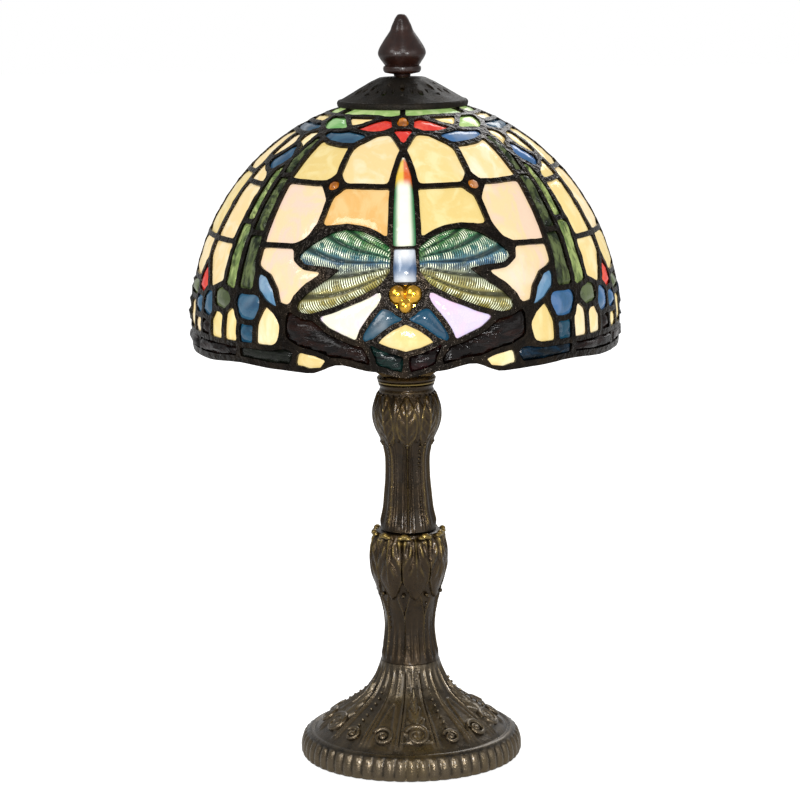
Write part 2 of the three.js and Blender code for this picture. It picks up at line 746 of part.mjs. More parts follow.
// Openings in the leading, each with one pane. Those of a quarter are repeated in all four quarters.
const QUARTER_PANES = {
  wing: [
    [4.4, 25.2], [8, 27.8], [12.5, 29.4], [17.5, 29.7], [22, 28.2], [27, 25.3], [30.3, 22.6], [28, 20.9],
    [23, 20.5], [19.5, 19.7], [22, 17.2], [26.5, 13.4], [28.8, 11], [28.3, 9.4], [25, 9.2], [18.5, 11],
    [12, 13.7], [6.8, 16.6], [4.4, 19.3],
  ],
  crown_glass: [[3, 62.2], [2.4, 74.6], [87.6, 74.6], [87, 62.2], [60, 61.5], [30, 61.2], [8, 61.8]],
  upper_field: [
    [2.2, 53.6], [5, 58.5], [20, 59.6], [41, 58.6], [42.8, 44.2], [25.5, 43.4], [7, 42.6], [4.8, 46.5],
  ],
  middle_field: [
    [4.8, 29.2], [4.8, 40.6], [43, 41], [43, 20.6], [38, 18.2], [35.4, 14.4], [34.6, 11.8], [32.2, 11.8],
    [30.4, 15], [27.2, 18.4], [31.2, 19.6], [32.6, 22.6], [29.2, 26.6], [23.5, 30.4], [18, 32], [12.5, 31.7],
    [8, 30.2],
  ],
  stem_glass: [[45.3, 14.2], [45.3, 57.5], [48.8, 57.5], [51.2, 49], [54.8, 46], [55.6, 30], [55.4, 14.2]],
};

// Half outlines, from the top down, that a mirror in the front or back centre line completes.
const FACE_PANES = {
  dragonfly_body: [
    [0, 51.6], [0.9, 50.6], [2, 47], [2.4, 40], [2.3, 25], [2.7, 23.6], [2.7, 17], [3.4, 16], [4, 13.6],
    [2.2, 11.5], [0, 10.8],
  ],
  lower_field: [
    [0, 8.8], [3.6, 9.2], [6.2, 13.6], [11, 12.3], [22.5, 8.2], [20, 5.7], [13, 2.9], [8, 1.9], [0, 0.3],
  ],
  branch_glass: [
    [0, -1.4], [7, -1.6], [11, -0.2], [16.5, 2.2], [24.5, 6], [31, 7.6], [31, 2.6], [25.5, -0.2], [20, -2],
    [15.5, -1.6], [8, -3], [0, -4.2],
  ],
};

// Half outlines, from the top down, that a mirror in a side's centre line completes.
const SIDE_PANES = {
  side_field: [[90, 59.6], [62, 58.5], [58.4, 45], [58, 15], [66, 14.4], [90, 14.4]],
  flower_glass: [
    [90, 12.4], [78, 11.8], [64, 10.6], [56, 12.4], [43, 12.4], [43, 16.9], [40.5, 16.6], [37, 13.6],
    [34.4, 9.5], [34.6, 1.4], [60, 0.9], [90, 0.9],
  ],
  border_glass: [
    [90, -0.6], [60, -0.6], [50, -0.6], [40, -0.4], [33, -0.6], [35, -3.3], [47, -2.9], [65, -3.9],
    [90, -3.9],
  ],
};

const QUARTERS = {
  front_right: (azimuth) => azimuth,
  back_right: (azimuth) => 180 - azimuth,
  back_left: (azimuth) => 180 + azimuth,
  front_left: (azimuth) => -azimuth,
};
const PANE_FINISH = {
  wing: FINISH.wingGlass,
  crown_glass: FINISH.greenGlass,
  upper_field: FINISH.creamGlass,
  middle_field: FINISH.creamGlass,
  stem_glass: FINISH.darkGreenGlass,
  dragonfly_body: FINISH.bodyGlass,
  lower_field: FINISH.creamGlass,
  branch_glass: FINISH.brownGlass,
  side_field: FINISH.creamGlass,
  flower_glass: FINISH.blueGlass,
  border_glass: FINISH.brownGlass,
};

function paneOutlines() {
  const panes = [];
  for (const [kind, outline] of Object.entries(QUARTER_PANES))
    for (const [quarter, turn] of Object.entries(QUARTERS))
      panes.push({ name: `${kind}_${quarter}`, kind, outline: outline.map(([a, h]) => [turn(a), h]) });
  const whole = (half, axis) => {
    const inner = half.filter(([a]) => a !== axis).reverse();
    return [...half, ...inner.map(([a, h]) => [2 * axis - a, h])];
  };
  for (const [kind, half] of Object.entries(FACE_PANES))
    for (const [face, turn] of [["front", 0], ["back", 180]])
      panes.push({ name: `${kind}_${face}`, kind, outline: whole(half, 0).map(([a, h]) => [a + turn, h]) });
  for (const [kind, half] of Object.entries(SIDE_PANES))
    for (const [side, turn] of [["right", 0], ["left", 180]])
      panes.push({ name: `${kind}_${side}`, kind, outline: whole(half, 90).map(([a, h]) => [a + turn, h]) });
  return panes;
}

// One quarter of the leading, as a contour with holes. The contour runs along the lower edge, up the side's
// centre line past the side panes, round the crown and down the front's centre line past the face panes.
function quarterOfLeading() {
  const crown = CROWN_EDGE;
  const foot = LOWER_EDGE.map(([azimuth]) => azimuth);
  const between = foot.slice(1).map((azimuth, i) => (azimuth + foot[i]) / 2);
  const along = [...foot, ...between].sort((a, b) => a - b);
  const contour = [
    ...along.map((azimuth) => [azimuth, lowerEdge(azimuth)]),
    ...Object.values(SIDE_PANES).flat().reverse(),
    [90, crown],
    [0, crown],
    ...Object.values(FACE_PANES).flat(),
  ];
  const clockwise = (outline) => (areaOf(outline) > 0 ? outline.slice().reverse() : outline);
  const holes = Object.values(QUARTER_PANES).map((pane) => loopOf(clockwise(pane)));
  return { contour: loopOf(contour), holes };
}

// Swaps the shared edge of neighbouring triangles wherever the other diagonal is shorter, so that triangles
// reach across the lead strips and not along them. The map tells how a triangle faces, the places its size.
function shortenEdges(triangles, map, places) {
  const facesUp = (a, b, c) => THREE.ShapeUtils.area([map[a], map[b], map[c]]) > 1e-6;
  const length = (a, b) => places[a].distanceTo(places[b]);
  let swapped = true;
  while (swapped) {
    swapped = false;
    const owners = new Map();
    triangles.forEach((t, n) => t.forEach((v, k) => owners.set(`${v} ${t[(k + 1) % 3]}`, n)));
    const settled = new Set();
    for (const [edge, n] of owners) {
      const [a, b] = edge.split(" ").map(Number);
      const m = owners.get(`${b} ${a}`);
      if (m === undefined || settled.has(n) || settled.has(m)) continue;
      const c = triangles[n].find((v) => v !== a && v !== b);
      const d = triangles[m].find((v) => v !== a && v !== b);
      if (length(c, d) > length(a, b) - 1e-6 || !facesUp(c, a, d) || !facesUp(d, b, c)) continue;
      triangles[n] = [c, a, d];
      triangles[m] = [d, b, c];
      settled.add(n).add(m);
      swapped = true;
    }
  }
  return triangles;
}

// The lead network of the whole dome: four quarters, mirrored in turn and open where they meet.
function leading() {
  const { contour, holes } = quarterOfLeading();
  const [inner, outer] = [LEAD.proud - LEAD.thickness, LEAD.proud];
  // A round map of the quarter in which no three neighbours lie in line, so that each point keeps its triangle.
  const flatten = ([azimuth, height]) => {
    const bent = radians(azimuth + 0.3 * Math.sin(height / 7));
    return new THREE.Vector2(90 - height, 0).rotateAround(new THREE.Vector2(), bent);
  };
  const points = [contour, ...holes].flat();
  const map = points.map(flatten);
  const places = points.map(([azimuth, height]) => domePoint(azimuth, height, outer));
  const flatHoles = holes.map((hole) => hole.map(flatten));
  const ears = THREE.ShapeUtils.triangulateShape(contour.map(flatten), flatHoles);
  const facesUp = (ear) => THREE.ShapeUtils.area(ear.map((i) => map[i])) > 0;
  const upward = ears.map((ear) => (facesUp(ear) ? ear : ear.reverse()));
  const triangles = shortenEdges(upward, map, places);
  const positions = [];
  for (const turn of Object.values(QUARTERS)) {
    const mirrored = turn(1) < turn(0);
    const emit = (...corners) => {
      if (mirrored) corners.reverse();
      for (const [[azimuth, height], offset] of corners) {
        const p = domePoint(turn(azimuth), height, offset);
        positions.push(p.x, p.y, p.z);
      }
    };
    for (const triangle of triangles) {
      const [a, b, c] = triangle.map((i) => points[i]);
      emit([a, outer], [b, outer], [c, outer]);
      emit([c, inner], [b, inner], [a, inner]);
    }
    for (const outline of [contour, ...holes])
      outline.forEach((p, i) => {
        const q = outline[(i + 1) % outline.length];
        const onSeam = p[0] === q[0] && (p[0] === 0 || p[0] === 90);
        if (onSeam) return;
        emit([p, inner], [q, inner], [q, outer]);
        emit([p, inner], [q, outer], [p, outer]);
      });
  }
  const geometry = new THREE.BufferGeometry();
  geometry.setAttribute("position", new THREE.Float32BufferAttribute(positions, 3));
  return toSolid(geometry);
}

function buildShade() {
  const glassShell = domeShell(-GLASS_THICKNESS, 0);
  for (const { name, kind, outline } of paneOutlines())
    add(name, toGeometry(glassShell.intersect(wedge(inset(outline, GAP)))), PANE_FINISH[kind]);
  add("shade_leading", toGeometry(leading()), FINISH.lead);
}

// The spun cap over the crown: a flat top, a straight slope pierced with vents, and a rolled rim.
function buildCap() {
  const { radius, wall, topRadius, bandHeight, vents, ventRadius } = CAP;
  const slopeFoot = capRim + bandHeight;
  const middleRadius = (topRadius + radius - 2) / 2;
  const middleHeight = (capTop + slopeFoot + 1) / 2 + 0.4;
  const shell = turned([
    [studBore, capTop],
    [topRadius, capTop],
    [middleRadius, middleHeight],
    [radius - 2, slopeFoot + 1],
    [radius - 0.2, slopeFoot - 0.8],
    [radius, capRim + 1],
    [radius - 1, capRim],
    [radius - wall - 1.2, capRim + 0.6],
    [radius - wall - 1.6, slopeFoot - 0.6],
    [middleRadius - 0.4, middleHeight - wall],
    [topRadius - 0.5, capTop - wall],
    [studBore, capTop - wall],
  ], 24);
  let cap = toSolid(shell);
  const ventCircle = topRadius + (radius - topRadius) * 0.36;
  for (let i = 0; i < vents; i++) {
    const vent = disc(ventRadius, capRim, capTop + wall, 6).scale(1, 1.5, 1).translate(0, ventCircle, 0);
    cap = cap.subtract(toSolid(vent.rotateZ((i * 2 * Math.PI) / vents)));
  }
  add("shade_cap", toGeometry(cap), FINISH.capMetal);
}

function buildFinial() {
  const { height, collarRadius, waistRadius, bellyRadius, tipRadius, neckRadius } = FINIAL;
  const boreTop = capSeat + STUD.length + GAP;
  const at = (share) => finialBase + height * share;
  const outline = [
    [studBore, finialBase],
    [neckRadius, finialBase],
    [neckRadius, at(0.06)],
    [collarRadius - 1, at(0.065)],
    [collarRadius, at(0.1)],
    [collarRadius, at(0.14)],
    [waistRadius, at(0.2)],
    [bellyRadius - 1.6, at(0.28)],
    [bellyRadius, at(0.37)],
    [bellyRadius - 0.9, at(0.45)],
    [bellyRadius * 0.7, at(0.62)],
    [bellyRadius * 0.45, at(0.8)],
    [tipRadius + 0.8, at(0.92)],
    [tipRadius - 0.8, at(0.98)],
    [0, at(1)],
    [0, boreTop],
    [studBore, boreTop],
  ];
  const geometry = turned(outline, 16);
  const position = geometry.getAttribute("position");
  for (let i = 0; i < position.count; i++) {
    const [x, y] = [position.getX(i), position.getY(i)];
    if (Math.hypot(x, y) <= neckRadius) continue;
    const swell = 1 - FINIAL.lobeDepth * (1 + Math.cos(FINIAL.lobes * Math.atan2(y, x)));
    position.setXY(i, x * swell, y * swell);
  }
  add("finial", geometry, FINISH.finialMetal);
}

buildBase();
buildHarp();
buildSocket();
buildBulb();
buildShade();
buildCap();
buildFinial();

export default lamp;
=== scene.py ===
"""Dresses a packed stained glass table lamp with its tiles, lead, castings, cap and finishes."""

import json
import logging
import math
from collections.abc import Callable, Iterable, Sequence
from dataclasses import dataclass, field, replace
from enum import Enum

import bmesh
import bpy
from mathutils import Matrix, Vector, geometry, kdtree, noise


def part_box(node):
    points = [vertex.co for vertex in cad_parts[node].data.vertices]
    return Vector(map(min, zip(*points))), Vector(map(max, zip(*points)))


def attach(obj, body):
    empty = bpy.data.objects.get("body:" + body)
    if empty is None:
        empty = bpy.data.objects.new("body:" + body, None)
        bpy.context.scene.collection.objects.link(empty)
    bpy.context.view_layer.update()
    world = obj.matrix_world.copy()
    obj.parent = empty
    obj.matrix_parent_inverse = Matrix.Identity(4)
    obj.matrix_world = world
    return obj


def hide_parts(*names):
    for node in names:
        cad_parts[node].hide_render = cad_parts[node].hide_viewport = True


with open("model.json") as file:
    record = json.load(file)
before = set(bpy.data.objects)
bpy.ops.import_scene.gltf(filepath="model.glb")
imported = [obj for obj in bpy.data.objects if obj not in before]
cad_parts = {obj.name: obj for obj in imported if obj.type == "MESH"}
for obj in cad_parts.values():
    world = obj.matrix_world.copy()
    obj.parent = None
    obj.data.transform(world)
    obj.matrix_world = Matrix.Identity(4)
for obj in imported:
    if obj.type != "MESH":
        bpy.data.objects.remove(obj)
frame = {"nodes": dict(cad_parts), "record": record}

log = logging.getLogger("lamp")

MM = 0.001  # the lamp is modelled in millimetres and stored in metres
Colour = tuple[float, float, float, float]
Outline = list[tuple[float, float]]
Points = tuple[tuple[float, float], ...]


def rgb(red: float, green: float, blue: float) -> Colour:
    """A colour given as it shows on a display, from 0 to 255, as linear light."""
    linear = [((c / 255 + 0.055) / 1.055) ** 2.4 if c > 10 else c / 255 / 12.92 for c in (red, green, blue)]
    return (*linear, 1.0)


def smooth(value: float, low: float, high: float) -> float:
    """A share from 0 at `low` to 1 at `high` that starts and ends gently."""
    share = min(max((value - low) / (high - low), 0.0), 1.0)
    return share * share * (3 - 2 * share)


def ridge(distance: float, width: float) -> float:
    """A rounded ridge of height 1 that fades out over `width` to each side of distance 0."""
    return math.exp(-((distance / width) ** 2))


def folded(angle: float, count: int, phase: float = 0.0) -> float:
    """The angle in degrees from `angle` to the nearest of `count` places spaced evenly round the axis."""
    pitch = 360 / count
    return (angle - phase + pitch / 2) % pitch - pitch / 2


# ---- Shader maths ----


class Value:
    """A shader socket that turns Python arithmetic into Math nodes."""

    def __init__(self, paint: "Nodes", socket: bpy.types.NodeSocket) -> None:
        """Keeps the socket and the nodes that it belongs to."""
        self.paint = paint
        self.socket = socket

    def __add__(self, other: "Value | float") -> "Value":
        """self + other."""
        return self.paint.maths("ADD", self, other)

    __radd__ = __add__

    def __sub__(self, other: "Value | float") -> "Value":
        """self - other."""
        return self.paint.maths("SUBTRACT", self, other)

    def __rsub__(self, other: float) -> "Value":
        """other - self."""
        return self.paint.maths("SUBTRACT", other, self)

    def __mul__(self, other: "Value | float") -> "Value":
        """self * other."""
        return self.paint.maths("MULTIPLY", self, other)

    __rmul__ = __mul__

    def sine(self) -> "Value":
        """The sine of the value, in radians."""
        return self.paint.maths("SINE", self)

    def ramp(self, low: float, high: float) -> "Value":
        """0 below `low`, 1 above `high`, and a smooth step between them."""
        settings = {"interpolation_type": "SMOOTHSTEP"}
        inputs = {"Value": self, "From Min": low, "From Max": high}
        return self.paint.value("ShaderNodeMapRange", settings, inputs)


class Nodes:
    """Builds the nodes of a material or a world."""

    def __init__(self, owner: bpy.types.Material | bpy.types.World) -> None:
        """Empties the owner's node tree."""
        owner.use_nodes = True
        self.tree = owner.node_tree
        self.tree.nodes.clear()

    def node(self, kind: str, settings: dict | None = None, inputs: dict | None = None) -> bpy.types.Node:
        """Adds a node.

        Args:
            kind: the node's type.
            settings: its own settings, set before its sockets.
            inputs: a number, colour or Value for each socket, by name or index.

        Returns:
            The node.
        """
        node = self.tree.nodes.new(kind)
        for name, setting in (settings or {}).items():
            setattr(node, name, setting)
        for key, given in (inputs or {}).items():
            if isinstance(given, Value):
                self.tree.links.new(given.socket, node.inputs[key])
            else:
                node.inputs[key].default_value = given
        return node

    def value(
        self, kind: str, settings: dict | None = None, inputs: dict | None = None, output: int | str = 0
    ) -> Value:
        """An output of a node that is added as `node` says."""
        return Value(self, self.node(kind, settings, inputs).outputs[output])

    def maths(self, operation: str, *values: "Value | float") -> Value:
        """The result of a Math node."""
        return self.value("ShaderNodeMath", {"operation": operation}, dict(enumerate(values)))


class Paint(Nodes):
    """Builds the nodes of one finish."""

    def __init__(self, name: str) -> None:
        """Starts an empty material with its object coordinates in millimetres."""
        self.material = bpy.data.materials.new(name)
        super().__init__(self.material)
        self.place = self.stretched(1, 1, 1)

    def stretched(self, x: float, y: float, z: float) -> Value:
        """Object coordinates in millimetres, divided by a stretch along each axis."""
        coordinates = self.value("ShaderNodeTexCoord", output="Object")
        scale = (1 / (MM * x), 1 / (MM * y), 1 / (MM * z))
        return self.value("ShaderNodeMapping", None, {"Vector": coordinates, "Scale": scale})

    def noise(self, size: float, detail: float = 3, warp: float = 0, where: Value | None = None) -> Value:
        """Cloudy noise with patches of about `size` millimetres."""
        inputs = {"Vector": where or self.place, "Scale": 1 / size, "Detail": detail, "Distortion": warp}
        return self.value("ShaderNodeTexNoise", None, inputs)

    def attribute(self, name: str, output: str = "Color") -> Value:
        """A value that the mesh carries."""
        return self.value("ShaderNodeAttribute", {"attribute_name": name}, output=output)

    def mix(self, share: Value | float, first: Value | Colour, second: Value | Colour) -> Value:
        """A blend from the first colour to the second."""
        return self.value("ShaderNodeMix", {"data_type": "RGBA"}, {0: share, 6: first, 7: second}, 2)

    def bump(self, height: Value, depth: float) -> Value:
        """A normal for a relief of `depth` millimetres."""
        return self.value("ShaderNodeBump", None, {"Height": height, "Distance": depth * MM, "Strength": 1.0})

    def finish(self, **sockets: Value | float | Colour) -> bpy.types.Material:
        """Adds the Principled shader, with underscores in a socket's name read as spaces.

        Returns:
            The finished material.
        """
        inputs = {name.replace("_", " "): given for name, given in sockets.items()}
        surface = self.value("ShaderNodeBsdfPrincipled", None, inputs)
        self.node("ShaderNodeOutputMaterial", None, {"Surface": surface})
        return self.material


# ---- Finishes ----

BLACK = (0.0, 0.0, 0.0, 1.0)
WHITE = (1.0, 1.0, 1.0, 1.0)


@dataclass(frozen=True)
class ArtGlass:
    """Streaky opalescent glass with a painted glow for the bulb's light behind it, coloured by the tints that
    each tile carries.
    """

    name: str = "art_glass"
    glow: float = 0.9
    body: float = 0.22
    wisp_size: float = 15
    ripple_size: float = 4.5
    ripple_depth: float = 0.35

    def make(self) -> bpy.types.Material:
        """Builds the material."""
        paint = Paint(self.name)
        tint, streak = paint.attribute("tint"), paint.attribute("streak")
        wisps = paint.noise(self.wisp_size, 5, 2.2, paint.stretched(1, 1, 1.9))
        clouds = paint.noise(self.wisp_size * 1.7, 2, 0.6)
        colour = paint.mix(wisps.ramp(0.42, 0.66) * 0.75, tint, streak)
        colour = paint.mix(clouds.ramp(0.55, 0.8) * 0.22, colour, WHITE)
        colour = paint.mix(paint.noise(6, 4, 1.5).ramp(0.56, 0.75) * 0.28, colour, streak)
        ripples = paint.noise(self.ripple_size, 2, 0.4) + 0.25 * paint.noise(1.1, 2)
        return paint.finish(
            Base_Color=paint.mix(1 - self.body, colour, BLACK),
            Roughness=paint.noise(5, 2) * 0.16 + 0.08,
            Coat_Weight=0.3,
            Coat_Roughness=0.08,
            # Painted glow: the emission stands in for the bulb's light coming through the glass.
            Emission_Color=colour,
            Emission_Strength=self.glow,
            Normal=paint.bump(ripples, self.ripple_depth),
        )


@dataclass(frozen=True)
class TexturedGlass:
    """Dark, coarsely streaked glass for branches, stems and borders, with a faint painted glow for the little
    light that comes through.
    """

    name: str
    along: tuple[float, float, float]
    glow: float = 0.14
    grain: float = 2.4
    depth: float = 0.7

    def make(self) -> bpy.types.Material:
        """Builds the material."""
        paint = Paint(self.name)
        tint, streak = paint.attribute("tint"), paint.attribute("streak")
        grain = paint.noise(self.grain, 4, 1.2, paint.stretched(*self.along))
        broad = paint.noise(7, 3, 1.5, paint.stretched(*self.along))
        colour = paint.mix(broad.ramp(0.42, 0.62), tint, streak)
        colour = paint.mix(grain.ramp(0.45, 0.7) * 0.7, colour, BLACK)
        return paint.finish(
            Base_Color=paint.mix(0.4, colour, BLACK),
            Roughness=grain * 0.2 + 0.04,
            Specular_IOR_Level=0.22,
            Coat_Weight=0.04,
            Coat_Roughness=0.05,
            # Painted glow: a faint emission stands in for the bulb's light coming through the dark glass.
            Emission_Color=colour,
            Emission_Strength=self.glow,
            Normal=paint.bump(grain + 0.6 * broad, self.depth),
        )


@dataclass(frozen=True)
class PressedGlass:
    """Iridescent pressed glass of the wings, with cross ribs between the long veins, painted shade in the
    valleys and between the ribs, painted glints on the crests and a painted glow.
    """

    name: str = "pressed_glass"
    glow: float = 0.92
    rib_pitch: float = 1.05
    rib_depth: float = 0.45
    shade: Colour = rgb(20, 34, 30)
    valley: Colour = rgb(10, 20, 20)
    groove: Colour = rgb(12, 18, 16)
    glint: Colour = rgb(244, 252, 220)

    def make(self) -> bpy.types.Material:
        """Builds the material."""
        paint = Paint(self.name)
        tint, streak = paint.attribute("tint"), paint.attribute("streak")
        along = paint.attribute("along", "Fac")
        ribs = (along * (math.tau / self.rib_pitch) + 1.6 * paint.noise(4, 1)).sine() * 0.5 + 0.5
        vein = paint.attribute("vein", "Fac")
        colour = paint.mix(paint.noise(6, 3, 1.4).ramp(0.45, 0.7) * 0.4, tint, streak)
        colour = paint.mix(paint.noise(5, 2).ramp(0.48, 0.7) * 0.4, colour, self.shade)
        # Painted shade: the valleys between the long veins are darkened.
        colour = paint.mix((1 - vein).ramp(0.2, 0.75) * 0.85, colour, self.valley)
        crest = vein.ramp(0.5, 0.85)
        # Painted shade: the grooves between the cross ribs on the crests are darkened.
        colour = paint.mix(ribs.ramp(0.7, 0.1) * crest * 0.8, colour, self.groove)
        # Painted highlight: near-white glints on the rib tops along the crests, broken up by noise.
        glint = crest * ribs.ramp(0.5, 0.85) * paint.noise(4.5, 3).ramp(0.42, 0.58)
        colour = paint.mix(glint, colour, self.glint)
        return paint.finish(
            Base_Color=paint.mix(0.3, colour, BLACK),
            Metallic=0.6,
            Roughness=0.12 + 0.12 * paint.noise(3),
            Coat_Weight=0.4,
            Coat_Roughness=0.06,
            # Painted glow: the emission stands in for the bulb's light coming through the wings.
            Emission_Color=colour,
            Emission_Strength=self.glow,
            Normal=paint.bump(ribs * vein, self.rib_depth),
        )


@dataclass(frozen=True)
class Solder:
    """Lead and solder with a dark glossy patina and small lumps."""

    name: str = "dark_solder"
    dark: Colour = rgb(24, 19, 14)
    stained: Colour = rgb(44, 35, 25)
    bright: Colour = rgb(104, 94, 80)

    def make(self) -> bpy.types.Material:
        """Builds the material."""
        paint = Paint(self.name)
        lumps = paint.noise(2.4, 2, 0.5)
        stain = paint.noise(9, 4, 1).ramp(0.4, 0.7)
        colour = paint.mix(stain, self.dark, self.stained)
        colour = paint.mix(paint.noise(2.6, 3).ramp(0.66, 0.8) * 0.4, colour, self.bright)
        return paint.finish(
            Base_Color=colour,
            Metallic=0.8,
            Roughness=0.14 + 0.22 * paint.noise(2.2, 3),
            Normal=paint.bump(lumps + 0.12 * paint.noise(0.7, 1), 0.9),
        )


@dataclass(frozen=True)
class AgedBronze:
    """Cast metal painted dark bronze and rubbed back to old gold where the relief stands high."""

    name: str = "aged_bronze"
    shadow: Colour = rgb(15, 12, 8)
    ground: Colour = rgb(58, 45, 28)
    worn: Colour = rgb(146, 124, 66)
    stain: Colour = rgb(84, 64, 28)

    def make(self) -> bpy.types.Material:
        """Builds the material."""
        paint = Paint(self.name)
        wear = paint.attribute("wear", "Fac")
        mottle = paint.noise(7, 4, 0.8)
        grit = paint.noise(0.8, 3)
        level = wear + 0.35 * mottle + 0.18 * grit - 0.26
        colour = paint.mix(level.ramp(0.02, 0.4), self.shadow, self.ground)
        colour = paint.mix(level.ramp(0.5, 1.15) * 0.8, colour, self.worn)
        colour = paint.mix(paint.noise(16, 3).ramp(0.52, 0.75) * 0.35, colour, self.stain)
        return paint.finish(
            Base_Color=colour,
            Metallic=0.85,
            Roughness=0.3 - 0.05 * wear + 0.2 * (mottle - 0.5),
            Coat_Weight=0.35,
            Coat_Roughness=0.16,
            Normal=paint.bump(grit + 1.2 * paint.noise(2.2, 2), 0.2),
        )


@dataclass(frozen=True)
class Metal:
    """A plain metal, resin or rubber with a mottled tone and fine surface grain."""

    name: str
    colour: Colour
    dull: Colour
    metallic: float = 1.0
    roughness: float = 0.32
    grain: float = 0.12
    coat: float = 0.0

    def make(self) -> bpy.types.Material:
        """Builds the material."""
        paint = Paint(self.name)
        mottle = paint.noise(6, 4, 0.6)
        fine = paint.noise(0.7, 3)
        return paint.finish(
            Base_Color=paint.mix(mottle.ramp(0.35, 0.7), self.colour, self.dull),
            Metallic=self.metallic,
            Roughness=self.roughness + 0.22 * (mottle - 0.5) + 0.1 * (fine - 0.5),
            Coat_Weight=self.coat,
            Coat_Roughness=0.08,
            Normal=paint.bump(fine + 0.6 * mottle, self.grain),
        )


@dataclass(frozen=True)
class Felt:
    """Dense green felt."""

    name: str = "green_felt"
    deep: Colour = rgb(28, 46, 34)
    pale: Colour = rgb(58, 84, 62)

    def make(self) -> bpy.types.Material:
        """Builds the material."""
        paint = Paint(self.name)
        fibres = paint.noise(0.5, 5, 2)
        return paint.finish(
            Base_Color=paint.mix(fibres.ramp(0.35, 0.7), self.deep, self.pale),
            Roughness=0.95,
            Sheen_Weight=0.4,
            Normal=paint.bump(fibres, 0.5),
        )


@dataclass(frozen=True)
class BulbGlass:
    """Glass of the bulb: softly glowing where it is frosted."""

    name: str
    glow: float
    tint: Colour
    transmission: float = 0.0
    milky: Colour = rgb(240, 226, 200)
    warm: Colour = rgb(255, 222, 170)

    def make(self) -> bpy.types.Material:
        """Builds the material."""
        paint = Paint(self.name)
        cloud = paint.noise(9, 3)
        return paint.finish(
            Base_Color=paint.mix(cloud * 0.3, self.tint, self.milky),
            Roughness=0.15 + 0.2 * cloud,
            Transmission_Weight=self.transmission,
            Emission_Color=paint.mix(cloud * 0.4, self.tint, self.warm),
            Emission_Strength=self.glow,
            Normal=paint.bump(paint.noise(1.5), 0.05),
        )


# ---- Making pieces ----


def new_mesh() -> bmesh.types.BMesh:
    """An empty bmesh that can carry tints and wear on its points."""
    bm = bmesh.new()
    for name in ("tint", "streak"):
        bm.verts.layers.float_color.new(name)
    for name in ("along", "vein", "wear"):
        bm.verts.layers.float.new(name)
    return bm


def joined(parts: Iterable[bmesh.types.BMesh]) -> bmesh.types.BMesh:
    """One bmesh that holds all the parts, which are freed."""
    whole = new_mesh()
    for part in parts:
        mesh = bpy.data.meshes.new("part")
        part.to_mesh(mesh)
        part.free()
        whole.from_mesh(mesh)
        bpy.data.meshes.remove(mesh)
    return whole


def make_piece(
    name: str,
    bm: bmesh.types.BMesh,
    body: str,
    slot: str,
    materials: bpy.types.Material | Sequence[bpy.types.Material],
    replaces: Sequence[str] = (),
    sharp: float = 40,
) -> None:
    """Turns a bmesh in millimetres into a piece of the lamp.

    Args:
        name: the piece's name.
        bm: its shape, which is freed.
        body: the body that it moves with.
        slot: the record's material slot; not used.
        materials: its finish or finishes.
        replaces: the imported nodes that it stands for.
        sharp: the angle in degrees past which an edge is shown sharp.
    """
    bmesh.ops.scale(bm, vec=(MM, MM, MM), verts=bm.verts[:])
    mesh = bpy.data.meshes.new(name)
    bm.to_mesh(mesh)
    bm.free()
    for material in materials if isinstance(materials, Sequence) else [materials]:
        mesh.materials.append(material)
    mesh.polygons.foreach_set("use_smooth", [True] * len(mesh.polygons))
    mesh.set_sharp_from_angle(angle=math.radians(sharp))
    obj = bpy.data.objects.new(name, mesh)
    bpy.context.scene.collection.objects.link(obj)
    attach(obj, body)
    if replaces:
        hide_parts(*replaces)
    log.info("%s: %d faces", name, len(mesh.polygons))


def turned(outline: Outline, steps: int, skin: int = 0) -> bmesh.types.BMesh:
    """Spins an outline about the lamp's axis.

    Args:
        outline: radius and height of each point. It closes on itself, or starts and ends on the axis.
        steps: how many steps go round.
        skin: how many points from the first are marked as skin, by a wear of 1.

    Returns:
        The closed shape, facing out.
    """
    bm = new_mesh()
    wear = bm.verts.layers.float["wear"]
    points = [bm.verts.new((radius, 0, height)) for radius, height in outline]
    for point in points[:skin]:
        point[wear] = 1.0
    open_ended = outline[0][0] == 0 and outline[-1][0] == 0
    pairs = list(zip(points, points[1:] + points[:1]))
    edges = [bm.edges.new(pair) for pair in (pairs[:-1] if open_ended else pairs)]
    bmesh.ops.spin(
        bm, geom=points + edges, cent=(0, 0, 0), axis=(0, 0, 1), angle=math.tau, steps=steps, use_merge=True
    )
    bmesh.ops.remove_doubles(bm, verts=bm.verts[:], dist=1e-4)
    bmesh.ops.recalc_face_normals(bm, faces=bm.faces[:])
    return bm


def outlined(loops: Iterable[Outline]) -> bmesh.types.BMesh:
    """A flat sheet that fills the space between closed loops."""
    bm = new_mesh()
    for loop in loops:
        points = [bm.verts.new((x, y, 0)) for x, y in loop]
        for pair in zip(points, points[1:] + points[:1]):
            bm.edges.new(pair)
    bmesh.ops.triangle_fill(bm, edges=bm.edges[:], use_beauty=True, normal=(0, 0, 1))
    return bm


def cut_grid(bm: bmesh.types.BMesh, cell: float) -> None:
    """Cuts a flat sheet along a grid so that it can bend."""
    for axis in (0, 1):
        low = min(v.co[axis] for v in bm.verts)
        high = max(v.co[axis] for v in bm.verts)
        count = max(1, math.ceil((high - low) / cell))
        normal = [0.0, 0.0, 0.0]
        normal[axis] = 1.0
        for i in range(1, count):
            at = [0.0, 0.0, 0.0]
            at[axis] = low + (high - low) * i / count
            everything = bm.verts[:] + bm.edges[:] + bm.faces[:]
            bmesh.ops.bisect_plane(bm, geom=everything, dist=1e-3, plane_co=at, plane_no=normal)


